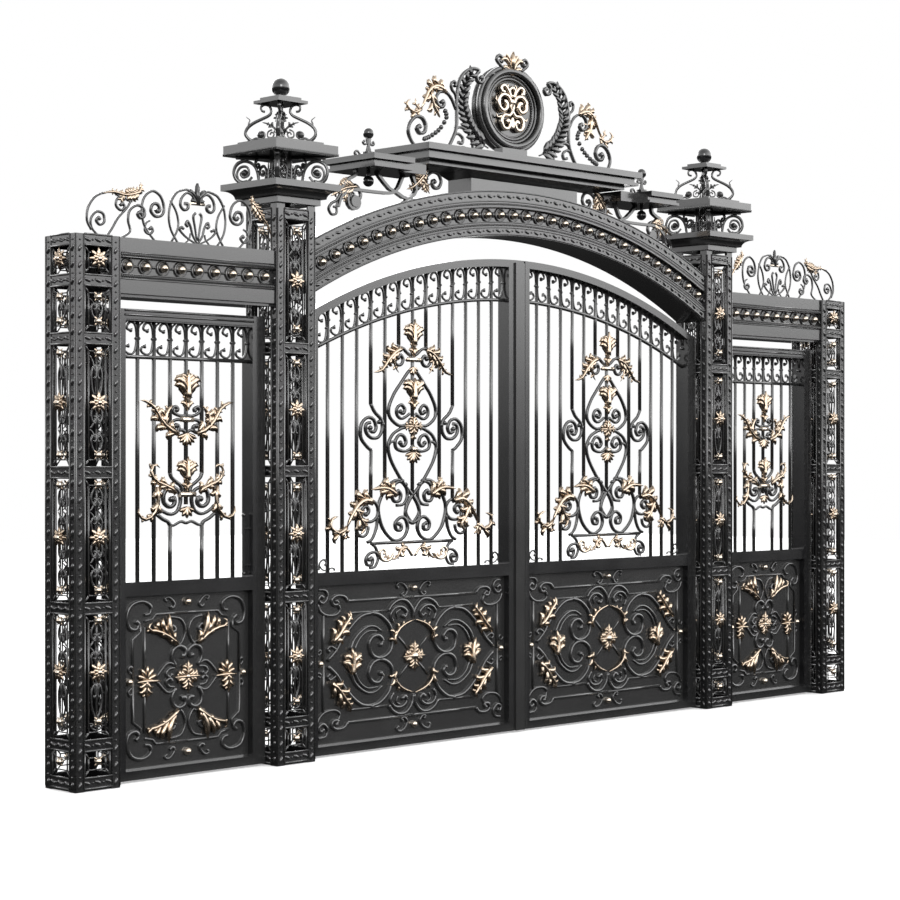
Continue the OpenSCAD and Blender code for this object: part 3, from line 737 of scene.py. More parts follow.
# %% Scrolls of a main leaf
def main_scrolls():
    p = PITCH
    half = [
        line([[p, 2548], [135, 2528], [175, 2512]], BAR_W),
        line([[14, 2480], [50, 2502], [82, 2526], [122, 2528], [158, 2500], [163, 2455],
              [135, 2420], [100, 2426], [84, 2458], [104, 2484], [130, 2466]], 19, 22),
        line([[20, 2395], [50, 2368], [110, 2300], [165, 2235], [208, 2150], [195, 2085],
              [120, 2036], [50, 2046], [20, 2080]], BAR_W),
        line([[28, 2112], [62, 2092], [100, 2080], [136, 2105], [134, 2150], [96, 2168],
              [68, 2140], [84, 2112], [106, 2124]], 19, 22),
        line([[40, 2028], [70, 2024], [115, 2012], [180, 1975], [214, 1905], [190, 1820],
              [130, 1732], [80, 1672], [30, 1620], [-20, 1570], [-52, 1520], [-62, 1475],
              [-48, 1435], [0, 1412]], BAR_W),
        line([[0, 1910], [30, 1884], [80, 1872], [140, 1890], [152, 1935], [120, 1975],
              [76, 1968], [58, 1930], [84, 1906], [110, 1926]], 19, 24),
        line([[152, 1935], [190, 1930], [214, 1905]], 17),
        line([[150, 1602], [128, 1622], [104, 1598], [116, 1560], [160, 1556], [182, 1600],
              [160, 1660], [105, 1680], [54, 1640], [48, 1580], [84, 1536], [140, 1528]], 24, 19),
        line([[110, 1690], [170, 1682], [230, 1640], [282, 1570], [300, 1500], [268, 1400],
              [210, 1335], [150, 1305], [80, 1325], [44, 1382], [62, 1440], [108, 1452],
              [150, 1420], [142, 1376], [104, 1372], [100, 1404], [120, 1410]], BAR_W, 22),
        line([[404, 1474], [384, 1492], [388, 1518], [418, 1524], [446, 1492], [436, 1446],
              [392, 1430], [345, 1436], [306, 1468], [302, 1515], [330, 1552], [372, 1562],
              [420, 1552]], 24, 19),
        line([[306, 1468], [316, 1390], [350, 1325], [392, 1300]], 19),
        line([[446, 1384], [426, 1392], [428, 1416], [458, 1424], [484, 1396], [470, 1352],
              [430, 1338], [394, 1360], [384, 1400]], 24, 18),
        line([[374, 1188], [360, 1204], [346, 1190], [358, 1160], [396, 1162], [404, 1200],
              [372, 1232], [320, 1236], [300, 1207], [318, 1262], [352, 1290]], 22, 18),
        line([[372, 1140], [330, 1146], [305, 1180], [300, 1207]], 17),
        line([[3 * p, 1880], [400, 1905], [448, 1960], [444, 2040], [396, 2082], [340, 2072],
              [318, 2025], [340, 1992], [372, 2004]], BAR_W, 22),
        line([[3 * p, 2170], [330, 2120], [272, 2070], [266, 2010], [300, 1962], [355, 1955],
              [402, 1990], [404, 2040], [368, 2052]], BAR_W, 22),
        line([[2 * p, 1700], [265, 1668], [300, 1640]], BAR_W),
        line([[3 * p, 1572], [372, 1545], [372, 1562]], 19),
        rod([[0, 1293], [362, 1293]], BAR_W),
        line([[0, 1600], [52, 1545], [56, 1480], [0, 1412]], 17),
    ]
    corners = [
        line([[795, 1140], [790, 1185], [760, 1205], [735, 1188], [748, 1168]], 9, 14),
        line([[730, 1136], [765, 1142], [790, 1165]], 9),
        line([[725, 1128], [700, 1150], [672, 1146], [668, 1134]], 8, 12),
    ]
    return shifted(both(half + corners), LEAF_X)


def main_gilding():
    """Gilded fronds, plumes, shells and collars of a main leaf's ornament."""
    half = frond([[111, 2523], [170, 2497], [232, 2441], [280, 2385], [354, 2365]], 92, 5)
    half += frond([[180, 2470], [165, 2410], [134, 2370]], 50, 2)
    half += frond([[362, 1550], [425, 1567], [492, 1535], [548, 1462], [588, 1392]], 120, 4,
                  sides=(0.8, 0.6))
    half += frond([[580, 1400], [645, 1362], [712, 1400], [703, 1452], [655, 1468]], 84, 4,
                  sides=(0.4, 1))
    half += frond([[506, 1521], [470, 1450], [427, 1397], [470, 1350]], 96, 3)
    half += frond([[590, 1392], [575, 1350], [584, 1322]], 50, 2)
    half += frond([[155, 1593], [214, 1628], [280, 1641], [373, 1631]], 104, 3)
    half += frond([[232, 1632], [238, 1667], [254, 1702]], 56, 2)
    half += [
        line([[262, 1222], [250, 1240], [272, 1256], [296, 1236], [288, 1200], [252, 1180],
              [206, 1190], [178, 1224]], 12, 18),
        line([[84, 1222], [98, 1206], [118, 1216], [118, 1244], [86, 1262], [48, 1250],
              [12, 1206]], 18, 14),
    ]
    half += frond([[60, 1262], [114, 1249], [150, 1198], [206, 1188]], 62, 3)
    half += frond([[206, 1188], [240, 1205], [252, 1240]], 40, 2)
    half += frond([[0, 2030], [44, 2032], [86, 2031]], 60, 2)
    middle = plume(0, 2482, 232, 86) + plume(0, 2142, 198, 92)
    middle += fan(0, 2412, 62, 40, 5, 20, turn=180, spread=60)
    middle += fan(0, 1872, 82, 76, 7, 26, turn=180, spread=68)
    middle += frond([[0, 2020], [0, 1975], [0, 1940]], 56, 2)
    middle += frond([[0, 2035], [0, 2065], [0, 2092]], 60, 2)
    collars = [rod([[-46, 2456], [46, 2456]], 24),
               rod([[-20, 1884], [20, 1884]], 30)]
    return shifted(both(half) + middle + collars, LEAF_X, y=-10)


def main_knobs():
    """Black eyes of the scrolls and black collars."""
    return [(LEAF_X + s * x, 0, z, r) for s in (-1, 1) for x, z, r in (
        (128, 2466, 17), (106, 2124, 16), (108, 1926, 17), (148, 1604, 17), (118, 1410, 15),
        (406, 1476, 17), (448, 1386, 16), (374, 1192, 15), (368, 2018, 18), (260, 2042, 16),
        (292, 2056, 16), (60, 1660, 16), (90, 1684, 16))]


pair("main_grille", [moved(forge(bars + frieze + main_scrolls(), BLACK), HOME),
                     moved(scatter(BALL, frieze_balls + main_knobs(), BLACK), HOME)],
     MAIN, ["main_grille"])
crown_beads = [(LEAF_X + x, -10, 2456, 16) for x in (-52, -30, 30, 52)]
pair("main_gilding", [moved(forge(main_gilding(), GILT, 1.3), HOME),
                      moved(scatter(BALL, crown_beads, GILT), HOME)], MAIN)

# %% [markdown]
# ## The grille of a wicket leaf
# The wickets repeat the theme at half the width: a winged crown above, and a lyre with leaves
# below, between nine bays of bars.

# %% Wicket grille
WX, WP = -2770.0, 115.6
WICKET_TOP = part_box("wicket_grille_left")[1].z * 1000


def wicket_bars():
    out = []
    for i in range(-3, 4):
        x = WX + i * WP
        low = {0: 1560, 1: 1740}.get(abs(i), RAIL_TOP - 2)
        out.append(rod([[x, low], [x, WICKET_TOP]], BAR_W))
        if abs(i) == 1:
            out.append(rod([[x, RAIL_TOP - 2], [x, 1442]], BAR_W))
    for i in range(8):
        out += frieze_scrolls(WX + (i - 3.5) * WP, WICKET_TOP - FRIEZE_H, WICKET_TOP)
    low = WICKET_TOP - FRIEZE_H - 11
    out.append(rod([[WX - 462, low], [WX + 462, low]], 22))
    return out


def wicket_scrolls():
    p = WP
    half = [
        line([[0, 2075], [40, 2072], [80, 2084], [100, 2102], [86, 2124], [62, 2116],
              [66, 2098]], 18, 22),
        line([[0, 2040], [40, 2050], [90, 2044], [118, 2010], [96, 1976], [60, 1984],
              [54, 2012], [78, 2020]], 19, 22),
        line([[0, 1975], [30, 1990], [60, 1984]], 19),
        line([[p, 1744], [104, 1718], [70, 1690], [38, 1668], [24, 1630]], BAR_W),
        line([[110, 1592], [88, 1600], [86, 1566], [120, 1548], [160, 1575], [158, 1628],
              [112, 1660], [58, 1640], [40, 1590], [60, 1530], [110, 1505], [170, 1525],
              [214, 1560]], 26, 19),
        line([[p, 1442], [130, 1462], [170, 1480], [212, 1508]], BAR_W),
        line([[212, 1508], [240, 1530], [228, 1567]], 19),
        line([[0, 1452], [40, 1462], [90, 1442], [p, 1442]], 17),
    ]
    return shifted(both(half), WX)


def wicket_gilding():
    half = frond([[68, 1968], [142, 2000], [203, 2058], [231, 2107], [286, 2146], [338, 2156]],
                 92, 5)
    half += frond([[160, 2012], [152, 2085], [112, 2132]], 84, 3, sides=(0.4, 1))
    half += frond([[87, 1624], [130, 1664], [197, 1680], [247, 1716], [264, 1767], [231, 1793],
                   [203, 1772]], 80, 5, sides=(0.8, 0.7))
    half += frond([[221, 1665], [210, 1584], [238, 1514], [292, 1478], [346, 1501], [348, 1546]],
                  78, 4, sides=(0.8, 0.8))
    middle = plume(0, 2107, 232, 92) + fan(0, 1972, 76, 74, 7, 26, turn=180, spread=68)
    middle += plume(0, 1643, 194, 76) + fan(0, 1546, 66, 58, 5, 26, turn=180, spread=66)
    collars = [rod([[-40, 2050], [40, 2050]], 28),
               rod([[-56, 1617], [56, 1617]], 28)]
    return shifted(both(half) + middle + collars, WX, y=-10)


def wicket_knobs():
    return [(WX + s * x, 0, z, r) for s in (-1, 1) for x, z, r in (
        (66, 2104, 14), (78, 2014, 17), (106, 1592, 20))]


wicket_balls = [(WX + (i - 3.5) * WP + s * 48, 0, WICKET_TOP - FRIEZE_H / 2, 11)
                for i in range(8) for s in (-1, 1)]
pair("wicket_grille", [moved(forge(wicket_bars() + wicket_scrolls(), BLACK), HOME),
                       moved(scatter(BALL, wicket_balls + wicket_knobs(), BLACK), HOME)],
     WICKET, ["wicket_grille"])
pair("wicket_gilding", [moved(forge(wicket_gilding(), GILT, 1.3), HOME)], WICKET)

# %% [markdown]
# ## The closed lower panels
# Below the middle rail each leaf is closed with a sheet, and cast relief is fixed to both faces.
# The relief is symmetric left to right and top to bottom, so a quarter of it is drawn and then
# mirrored twice. The back face is the front turned round.


# %% Lower panels
PANEL_Z = 567


def four_ways(strokes):
    out = both(strokes)
    return out + shifted(out, flip_z=PANEL_Z)


def main_panel_scrolls():
    quarter = [
        line([[734, 583], [660, 645], [623, 694], [559, 765], [462, 839], [364, 855], [293, 840],
              [219, 782], [188, 712], [190, 635], [234, 588], [299, 572], [362, 596], [386, 659],
              [364, 703], [309, 715], [270, 680], [292, 652]], 19, 22),
        line([[718, 633], [734, 653], [714, 670], [687, 660], [660, 645]], 16, 14),
        line([[546, 637], [505, 709], [419, 767], [342, 773], [274, 737]], 20, 10),
        line([[511, 635], [471, 700], [402, 744], [309, 742]], 16, 8),
        line([[2, 811], [14, 868], [67, 921], [132, 927], [188, 901], [219, 864]], 19),
        line([[177, 788], [201, 837], [165, 878], [107, 883], [62, 853], [74, 818], [100, 830]],
             15, 22),
        line([[140, 812], [150, 850], [120, 868]], 9, 12),
        line([[812, 1023], [752, 1014], [737, 971], [773, 937], [808, 956], [792, 984],
              [768, 968]], 15, 20),
        line([[570, 943], [599, 972], [660, 979], [699, 957], [687, 925], [649, 927],
              [662, 948]], 17, 20),
        line([[818, 932], [797, 892], [750, 864], [676, 860], [634, 887], [649, 927]], 15),
        line([[132, 1004], [148, 1018], [128, 1038], [84, 1024], [56, 984], [84, 952],
              [106, 962], [92, 976]], 14, 14),
        line([[814, 640], [796, 652], [790, 634], [812, 622], [826, 640]], 10, 12),
    ]
    frame_lines = [
        rod([[0, 943], [572, 943]], 16),
        rod([[219, 866], [540, 868]], 12),
        rod([[771, PANEL_Z], [771, 862]], 14),
        rod([[132, 697], [40, 605]], 11),
    ]
    return four_ways(quarter + frame_lines)


def main_panel_gilding():
    quarter = frond([[163, 655], [172, 700], [130, 751], [73, 780], [4, 800]], 66, 4,
                    sides=(0.3, 1))
    quarter += frond([[708, 688], [645, 745], [600, 800], [556, 846], [566, 880]], 104, 4)
    side = frond([[538, 486], [530, 540], [536, 600], [550, 652]], 120, 3)
    side += frond([[532, 560], [575, 574], [616, 567]], 70, 2)
    side += frond([[530, 565], [488, 582], [442, 563]], 70, 2)
    return four_ways(quarter) + both(side)


def boss(x, z, half):
    """A rosette of four pointed leaves."""
    out = []
    for way in ([1, 0], [0, 1], [-1, 0], [0, -1]):
        way = half * np.array(way)
        out += frond([[x, z] + 0.05 * way, [x, z] + 0.5 * way, [x, z] + way], half * 0.66, 3)
    return out


def panel_sheet(x0, x1, z0, z1):
    return [moved(box_mesh(x0, x1, -6, 6, z0, z1, BLACK), HOME)]


def two_faced(strokes, balls, x, y, material, depth):
    """Relief on the front face at depth y and its copy on the back."""
    front = [moved(forge(shifted(strokes, x), material, depth),
                   HOME @ Matrix.Translation((0, y / 1000, 0)))]
    if balls:
        front.append(moved(scatter(BALL, [(x + a, y, b, r) for a, b, r in balls], material), HOME))
    return front + [moved(m, TURN_ROUND) for m in front]


low_rail, high_rail = (v.z * 1000 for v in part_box("main_panel_left"))
knobs = [(0, 1003, 22), (0, 131, 22), (-800, PANEL_Z, 22), (800, PANEL_Z, 22),
         (0, PANEL_Z, 30)]
studs = [(s * x, PANEL_Z + t * h, r) for s in (-1, 1) for t in (-1, 1)
         for x, h, r in ((288, 90, 17), (364, 292, 17), (98, 262, 14), (664, 380, 14))]
pair("main_panel", panel_sheet(*LEAF_EDGES, low_rail, high_rail)
     + two_faced(main_panel_scrolls(), studs, LEAF_X, -11, CAST, 1.0),
     MAIN, ["main_panel"])
pair("main_panel_gilding", two_faced(main_panel_gilding() + boss(0, PANEL_Z, 100), knobs, LEAF_X,
                                     -16, GILT, 0.7), MAIN)


def wicket_panel_scrolls():
    quarter = [
        line([[304, 936], [268, 944], [262, 985], [320, 1014], [396, 995], [428, 930], [412, 868],
              [366, 856], [346, 884], [368, 906]], 16, 22),
        rod([[306, 898], [250, 910], [226, 937], [0, 938]], 13),
        rod([[340, 884], [332, 840], [388, 801], [388, PANEL_Z]], 14),
        rod([[305, 868], [305, PANEL_Z]], 12),
        line([[80, 630], [108, 676], [98, 725], [56, 745], [14, 724], [18, 688], [46, 690]],
             17, 26),
        line([[82, 630], [120, 651], [160, 640], [222, 576]], 14),
        line([[88, 622], [132, 616], [150, 588], [124, 570], [110, 590]], 12, 20),
        line([[120, 917], [44, 898], [12, 831], [40, 765], [84, 745]], 13),
        line([[46, 760], [120, 786], [144, 840], [108, 866], [84, 840], [106, 826]], 11, 20),
        line([[146, 1004], [160, 1020], [136, 1030], [108, 1012], [90, 984], [108, 966],
              [124, 980]], 11, 17),
        line([[396, 606], [416, 628], [406, 650], [392, 640]], 11, 15),
    ]
    return four_ways(quarter)


def wicket_panel_gilding():
    quarter = frond([[75, 757], [120, 793], [171, 822], [228, 841], [276, 848], [285, 875],
                     [262, 888]], 84, 4, sides=(0.9, 0.35))
    for w, path in ((50, [[100, 778], [134, 850], [142, 935]]),
                    (44, [[150, 812], [184, 870], [188, 914]]),
                    (38, [[200, 836], [222, 872], [216, 898]])):
        quarter.append(finger(path, w, -8))
    side = fan(290, 560, 86, 66, 5, 30, spread=62)
    side += frond([[296, 566], [300, 505], [299, 450]], 74, 3)
    side.append(finger([[204, 557], [286, 560], [366, 558]], 26, -10))
    return four_ways(quarter) + both(side)


w0, w1 = (v.x * 1000 - MID * 1000 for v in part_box("wicket_panel_left"))
knobs = [(0, 1000, 24), (0, 134, 24), (-414, 562, 22), (414, 562, 22), (0, PANEL_Z, 18)]
pair("wicket_panel", panel_sheet(w0, w1, low_rail, high_rail)
     + two_faced(wicket_panel_scrolls(), [], WX, -11, CAST, 1.0),
     WICKET, ["wicket_panel"])
pair("wicket_panel_gilding", two_faced(wicket_panel_gilding() + boss(0, PANEL_Z, 95), knobs,
                                       WX, -16, GILT, 0.7), WICKET)

# %% [markdown]
# ## The face of a box post
# All four posts have the same face on all four sides. Two corner strips carry a cast ribbon with
# studs, bands tie them together, and the panel between holds open foliage, gilded balls and
# rosettes. One face is drawn flat, with its plane at zero depth, and is then turned to each side.


# %% Ribbons, bands and panels
STRIP_X, STRIP_EDGES, BEAD_PITCH = 120, (146, 95), 45.95
BAND_HALF = 44


def ribbon(points, along):
    """Slanted oblong beads with small studs between, at points that face -Y."""
    rows = []
    for k, (x, y, z) in enumerate(points):
        if k % 2:
            rows.append((x, y, z, (6.5, 8, 6.5)))
        else:
            rows.append((x, y, z, (11, 9, 25), (0, along + 24, 0)))
    return rows


def post_foliage(z0, z1):
    """Open scrollwork between two features of a panel."""
    out = []
    cells = max(1, round((z1 - z0) / 175))
    h = (z1 - z0) / cells
    for k in range(cells):
        z = z0 + k * h
        up = 1 if k < cells / 2 else -1
        a, b = (z, z + h) if up > 0 else (z + h, z)
        d = b - a
        half = [line([[2, a], [30, a + 0.25 * d], [34, a + 0.6 * d], [10, a + 0.78 * d],
                      [4, a + 0.55 * d], [18, a + 0.48 * d]], 9, 13, n=3),
                line([[4, a + 0.5 * d], [26, a + 0.85 * d], [44, a + 0.98 * d]], 12, 4, n=2)]
        out += both(half)
        out.append(line([[0, a], [0, b]], 7, n=2))
    return out


def post_face(height, bands, rosettes, balls):
    """One face of a post, with its plane at zero depth, as four lists."""
    strokes, gilded, beads, gilt_rows = [], [], [], []
    for s in (-1, 1):
        for u in STRIP_EDGES:
            strokes.append(rod([[s * u, 14], [s * u, height - 3]], 7, y=-1))
        zs = np.arange(36, height - 25, BEAD_PITCH)
        beads += ribbon([(s * STRIP_X, 0, z) for z in zs], 0)
    tops = [45] + list(bands) + [height - 31]
    for z in tops:
        for dz in (-30, 30):
            strokes.append(rod([[-92, z + dz], [92, z + dz]], 10, y=-3))
        beads += ribbon([(u, -1, z) for u in (-70, -35, 0, 35, 70)], 90)
    for a, b in zip(tops[:-1], tops[1:]):
        z0, z1 = a + BAND_HALF, b - BAND_HALF
        if z1 - z0 < 60:
            continue
        pane = [rod([[57, z0 + 26], [57, z1 - 26]], 8, y=9),
                rod([[57, z1 - 26], [84, z1 + 8]], 8, y=7),
                rod([[57, z0 + 26], [84, z0 - 8]], 8, y=7),
                rod([[0, z1 - 26], [57, z1 - 26]], 7, y=9),
                rod([[0, z0 + 26], [57, z0 + 26]], 7, y=9),
                rod([[84, z0 - 8], [84, z1 + 8]], 9, y=6)]
        strokes += both(pane)
        marks = sorted([z0 + 26] + [z for z in list(rosettes) + list(balls) if z0 < z < z1]
                       + [z1 - 26])
        for c, d in zip(marks[:-1], marks[1:]):
            if d - c > 45:
                strokes += shifted(post_foliage(c + 8, d - 8), y=14)
    for z in rosettes:
        gilt_rows += rosette(0, -4, z, 62)
    studs = [(0, 0, z, 22) for z in balls] + [(0, -14, z, 17) for z in rosettes]
    for z in balls:
        gilt_rows += [(0, -2, z, (30, 20, 36), (0, 90 * k + 45, 0)) for k in range(4)]
    return {"strokes": strokes, "beads": beads, "petals": gilt_rows, "studs": studs}


def post_pieces(face, centre, width, depth):
    """The face turned to the four sides of a post."""
    front = [forge(face["strokes"], CAST), scatter(STUD, face["beads"], BLACK)]
    gilt = [scatter(PETAL, face["petals"], GILT), scatter(BALL, face["studs"], GILT)]
    black_out, gilt_out = [], []
    for k in range(4):
        reach = (depth if k % 2 == 0 else width) / 2
        squeeze = 1 if k % 2 == 0 else depth / width
        m = (Matrix.Translation(centre) @ Matrix.Rotation(math.pi / 2 * k, 4, "Z")
             @ Matrix.Translation((0, -reach, 0)) @ Matrix.Scale(squeeze, 4, (1, 0, 0)))
        black_out += [moved(f, m) for f in front]
        gilt_out += [moved(f, m) for f in gilt]
    return black_out, gilt_out


print("a post's corner strips stand", 2 * STRIP_X, "mm apart, with a bead each", BEAD_PITCH, "mm")


# %% Dress the posts
PIER_FACE_H = 3315
POSTS = {
    "main_pier": ([252, 1000, 1749, 2484], [2885, 2116, 1375, 643],
                  [3185, 2600, 2395, 1840, 1650, 1100, 920, 375, 155]),
    "outer_post": ([251, 1002, 1748, 2485, 2804], [2924, 2132, 1390, 650],
                   [2714, 2580, 2404, 1844, 1680, 1100, 934, 380, 160]),
}
for name, (bands, rosettes, balls) in POSTS.items():
    low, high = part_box(f"{name}_left")
    size = high - low
    face_h = PIER_FACE_H if name == "main_pier" else high.z * 1000
    centre = ((low.x + high.x) / 2, (low.y + high.y) / 2, 0)
    dark, gilded = post_pieces(post_face(face_h, bands, rosettes, balls), centre, size.x, size.y)
    pair(f"{name}_relief", dark, ROOT)
    pair(f"{name}_gilding", gilded, ROOT)

# %% [markdown]
# ## Arch and lintels
# The arch and the straight lintels share one pattern: a sunk band with gilded balls in cups,
# a rope on each side, and on the arch an outer and an inner lip with the same ribbon as the
# posts. On the arch, every position is an angle and a radius about the arch's centre.

# %% Studs, ropes and ribbons on the arch
ARCH_Z, ARCH_SPRING, CUP_R, CUP_STEP = -721.0, 1896, 4157, 1.733
FACE_Y, SUNK_Y, ROPE_PITCH = -130.0, -105.0, 15.5


def on_arch(radius, angle, y):
    a = math.radians(angle)
    return radius * math.sin(a), y, ARCH_Z + radius * math.cos(a)


def limit(radius):
    return math.degrees(math.asin(ARCH_SPRING / radius))


def arch_rope(radius):
    step = math.degrees(ROPE_PITCH / radius)
    angles = np.arange(-limit(radius), limit(radius), step)
    return [(*on_arch(radius, a, FACE_Y), (4.5, 8, 12), (0, a + 52, 0)) for a in angles]


def arch_ribbon(radius):
    step = math.degrees(46 / radius)
    angles = np.arange(-limit(radius) + 0.4, limit(radius) - 0.3, step)
    rows = ribbon([on_arch(radius, a, FACE_Y) for a in angles], 90)
    return [(*r[:4], (0, a + r[4][1], 0)) if len(r) > 4 else r for a, r in zip(angles, rows)]


def arch_line(radius, w):
    angles = np.linspace(-limit(radius), limit(radius), 60)
    return rod([on_arch(radius, a, 0)[::2] for a in angles], w, y=FACE_Y)


cup_angles = [CUP_STEP * k for k in range(-15, 16)]
cups = [(*on_arch(CUP_R, a, SUNK_Y), (47, 42, 47)) for a in cup_angles]
links = [(*on_arch(CUP_R, a + 0.866, SUNK_Y), (9, 16, 22), (0, a + 0.866, 0))
         for a in cup_angles]
arch_balls = [(*on_arch(CUP_R, a, SUNK_Y - 17), 25) for a in cup_angles]
lips = [arch_line(r, w) for r, w in ((4309, 9), (4245, 8), (4206, 8), (4108, 8), (4073, 8),
                                     (4029, 9))]
print(len(cups), "cups on each side of the arch")


def straight_rope(x0, x1, z):
    return [(x, FACE_Y, z, (4.5, 8, 12), (0, 90 + 52, 0)) 
            for x in np.arange(x0, x1, ROPE_PITCH)]


LX, LZ = [-3269.4 + 124.6 * k for k in range(9)], 2901
lintel_cups = [(x, SUNK_Y, LZ, (46, 42, 46)) for x in LX]
lintel_links = [(x + 62, SUNK_Y, LZ, (22, 16, 9)) for x in LX[:-1]]
lintel_balls = [(x, SUNK_Y - 17, LZ, 25) for x in LX]
lintel_ropes = straight_rope(-3334, -2204, LZ + 60) + straight_rope(-3334, -2204, LZ - 60)
lintel_lines = [rod([[-3338, z], [-2202, z]], 8, y=FACE_Y)
                for z in (LZ + 74, LZ + 48, LZ - 48, LZ - 74)]


def front_and_back(meshes):
    front = [moved(m, HOME) for m in meshes]
    return front + [moved(m, TURN_ROUND) for m in front]


piece("arch_relief", front_and_back([
    scatter(RINGED, cups, CAST), scatter(STUD, links, CAST),
    scatter(STUD, arch_rope(4226) + arch_rope(4090), CAST),
    scatter(STUD, arch_ribbon(4276) + arch_ribbon(4052), BLACK),
    forge(lips, BLACK)]), "root")
piece("arch_balls", front_and_back([scatter(BALL, arch_balls, GILT)]), "root")
pair("lintel_relief", front_and_back([
    scatter(RINGED, lintel_cups, CAST), scatter(STUD, lintel_links, CAST),
    scatter(STUD, lintel_ropes, CAST), forge(lintel_lines, BLACK)]), ROOT)
pair("lintel_balls", front_and_back([scatter(BALL, lintel_balls, GILT)]), ROOT)

# %% [markdown]
# ## Crests over the lintels
# Each lintel carries a fence of scrolls round a fan. It stands just behind the lintel's front
# edge and dies against the main pier, so its inner half is shorter than its outer half.

# %% Lintel crest
CX, CY, CZ = -2770.0, -107.0, 3045.0


def crest_strokes():
    return [
        line([[0, 12], [34, 60], [50, 110], [72, 140], [84, 122], [70, 108]], 12, 17),
        line([[10, 12], [70, 40], [104, 62], [128, 86], [118, 102], [100, 92]], 11, 16),
        line([[4, 30], [18, 110], [30, 170], [16, 190]], 11, 16),
        line([[90, 10], [60, 40], [52, 70]], 10),
        line([[92, 238], [70, 236], [72, 212], [98, 202], [122, 226], [116, 268], [80, 300],
              [40, 290], [12, 250]], 20, 12),
        line([[112, 312], [150, 296], [190, 240], [206, 160], [190, 80], [140, 6]], 13, 12),
        line([[112, 312], [70, 318], [34, 290]], 12),
        line([[300, 190], [286, 174], [270, 190], [286, 218], [322, 214], [332, 176], [300, 148],
              [258, 158], [240, 200], [262, 262], [320, 290], [380, 250], [396, 170], [372, 80],
              [300, 4]], 20, 12),
        line([[196, 250], [150, 180], [140, 100], [190, 8]], 12),
        line([[345, 72], [332, 84], [320, 66], [344, 44], [374, 62], [368, 104], [340, 122]],
             18, 10),
    ]


def outer_strokes():
    return [
        line([[-400, 152], [-412, 166], [-424, 150], [-404, 130], [-378, 148], [-384, 186],
              [-430, 200], [-480, 168], [-490, 110], [-478, 50], [-540, 8]], 20, 12),
        line([[-396, 276], [-460, 236], [-500, 180], [-560, 120], [-600, 60], [-640, 6]], 13),
        line([[-545, 190], [-530, 204], [-516, 184], [-540, 164], [-572, 186], [-566, 226],
              [-530, 240], [-490, 220]], 18, 11),
        line([[-680, 100], [-694, 112], [-706, 94], [-684, 72], [-654, 92], [-660, 134],
              [-706, 142], [-742, 104], [-736, 50], [-690, 8]], 18, 12),
        line([[-666, 250], [-720, 220], [-762, 160], [-768, 90], [-740, 40]], 13),
        line([[-545, 236], [-600, 262], [-668, 246]], 12),
    ]


def crest_gilding():
    out = frond([[-405, 280], [-450, 262], [-520, 250], [-590, 262], [-664, 248]], 62, 8)
    out += frond([[-430, 270], [-400, 300], [-408, 330]], 40, 3)
    out += frond([[-520, 250], [-540, 220], [-520, 205]], 40, 3)
    out += frond([[402, 290], [440, 250], [480, 205], [530, 150], [548, 90]], 60, 7)
    out += frond([[420, 270], [405, 305], [412, 330]], 36, 3)
    return out + [rod([[-50, 242], [50, 242]], 15)]


fleur = fan(0, 250, 112, 42, 5, 34) + [rod([[0, 240], [0, 350]], 30, 20)]
base_bars = [rod([[-770, 6], [566, 6]], 12)]
crest_black = shifted(both(crest_strokes()) + outer_strokes() + fleur + base_bars, CX, CZ, CY)
pair("lintel_crest", [moved(forge(crest_black, CAST), HOME)], ROOT,
     ["lintel_crest"])
pair("lintel_crest_gilding", [moved(forge(shifted(crest_gilding(), CX, CZ, CY), GILT, 1.2), HOME)],
     ROOT)

# %% [markdown]
# ## Pier caps, lanterns and finials
# Each main pier ends in a flared cap, an open lantern of scrolls, a slab, and a finial with four
# lyres round a stem. The scrolls stand on the diagonals, so one is drawn and turned four times.


# %% Lantern and finial
def turned_four(meshes, centre, first=45):
    out = []
    for k in range(4):
        turn = Matrix.Translation(centre) @ Matrix.Rotation(math.radians(first + 90 * k), 4, "Z")
        out += [moved(m, turn) for m in meshes]
    return out


GLOBE = turned_shape("globe", [(math.sin(a), -math.cos(a)) for a in np.linspace(0.01, 3.13, 18)],
                     28)
PIER, FINIAL_BALL_R = (MID - 2.05, 0, 0), 57
cap_top, slab_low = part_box("cap_lantern_left")[0].z * 1000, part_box("cap_slab_left")[0].z * 1000
slab_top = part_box("cap_slab_left")[1].z * 1000
ball_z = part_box("finial_left")[1].z * 1000 - FINIAL_BALL_R
corner_scrolls = [
    line([[225, 3552], [240, 3538], [226, 3518], [196, 3530], [190, 3556], [208, 3582],
          [244, 3576], [262, 3540], [246, 3496], [200, 3492], [172, 3520]], 14, 14),
    line([[200, 3492], [240, 3486], [270, 3508], [282, 3552], [264, 3596], [219, 3616],
          [172, 3600], [142, 3557], [128, cap_top + 4]], 20, 17),
    line([[219, 3616], [240, 3630], [262, slab_low - 3]], 16, 10),
    rod([[60, cap_top + 7], [262, cap_top + 7]], 12),
    rod([[60, slab_low - 8], [270, slab_low - 8]], 16),
]
side_scrolls = both([
    line([[62, 3556], [52, 3544], [66, 3530], [86, 3546], [80, 3574], [48, 3584], [30, 3550],
          [36, 3500], [60, cap_top + 4]], 14, 10),
    line([[104, 3600], [92, 3590], [102, 3576], [122, 3590], [120, 3616], [96, slab_low - 4]],
         14, 10),
    line([[70, cap_top + 4], [92, 3496], [96, 3540], [122, 3560]], 12, 5),
])
side_scrolls += frond([[0, cap_top + 4], [0, 3530], [0, 3600]], 58)
lantern = turned_four([forge(corner_scrolls, CAST, 1.6),
                       scatter(BALL, [(216, 0, 3545, 22)], CAST)], PIER)
lantern += turned_four([moved(forge(side_scrolls, CAST, 1.1), Matrix.Translation((0, -0.09, 0)))],
                       PIER, 0)
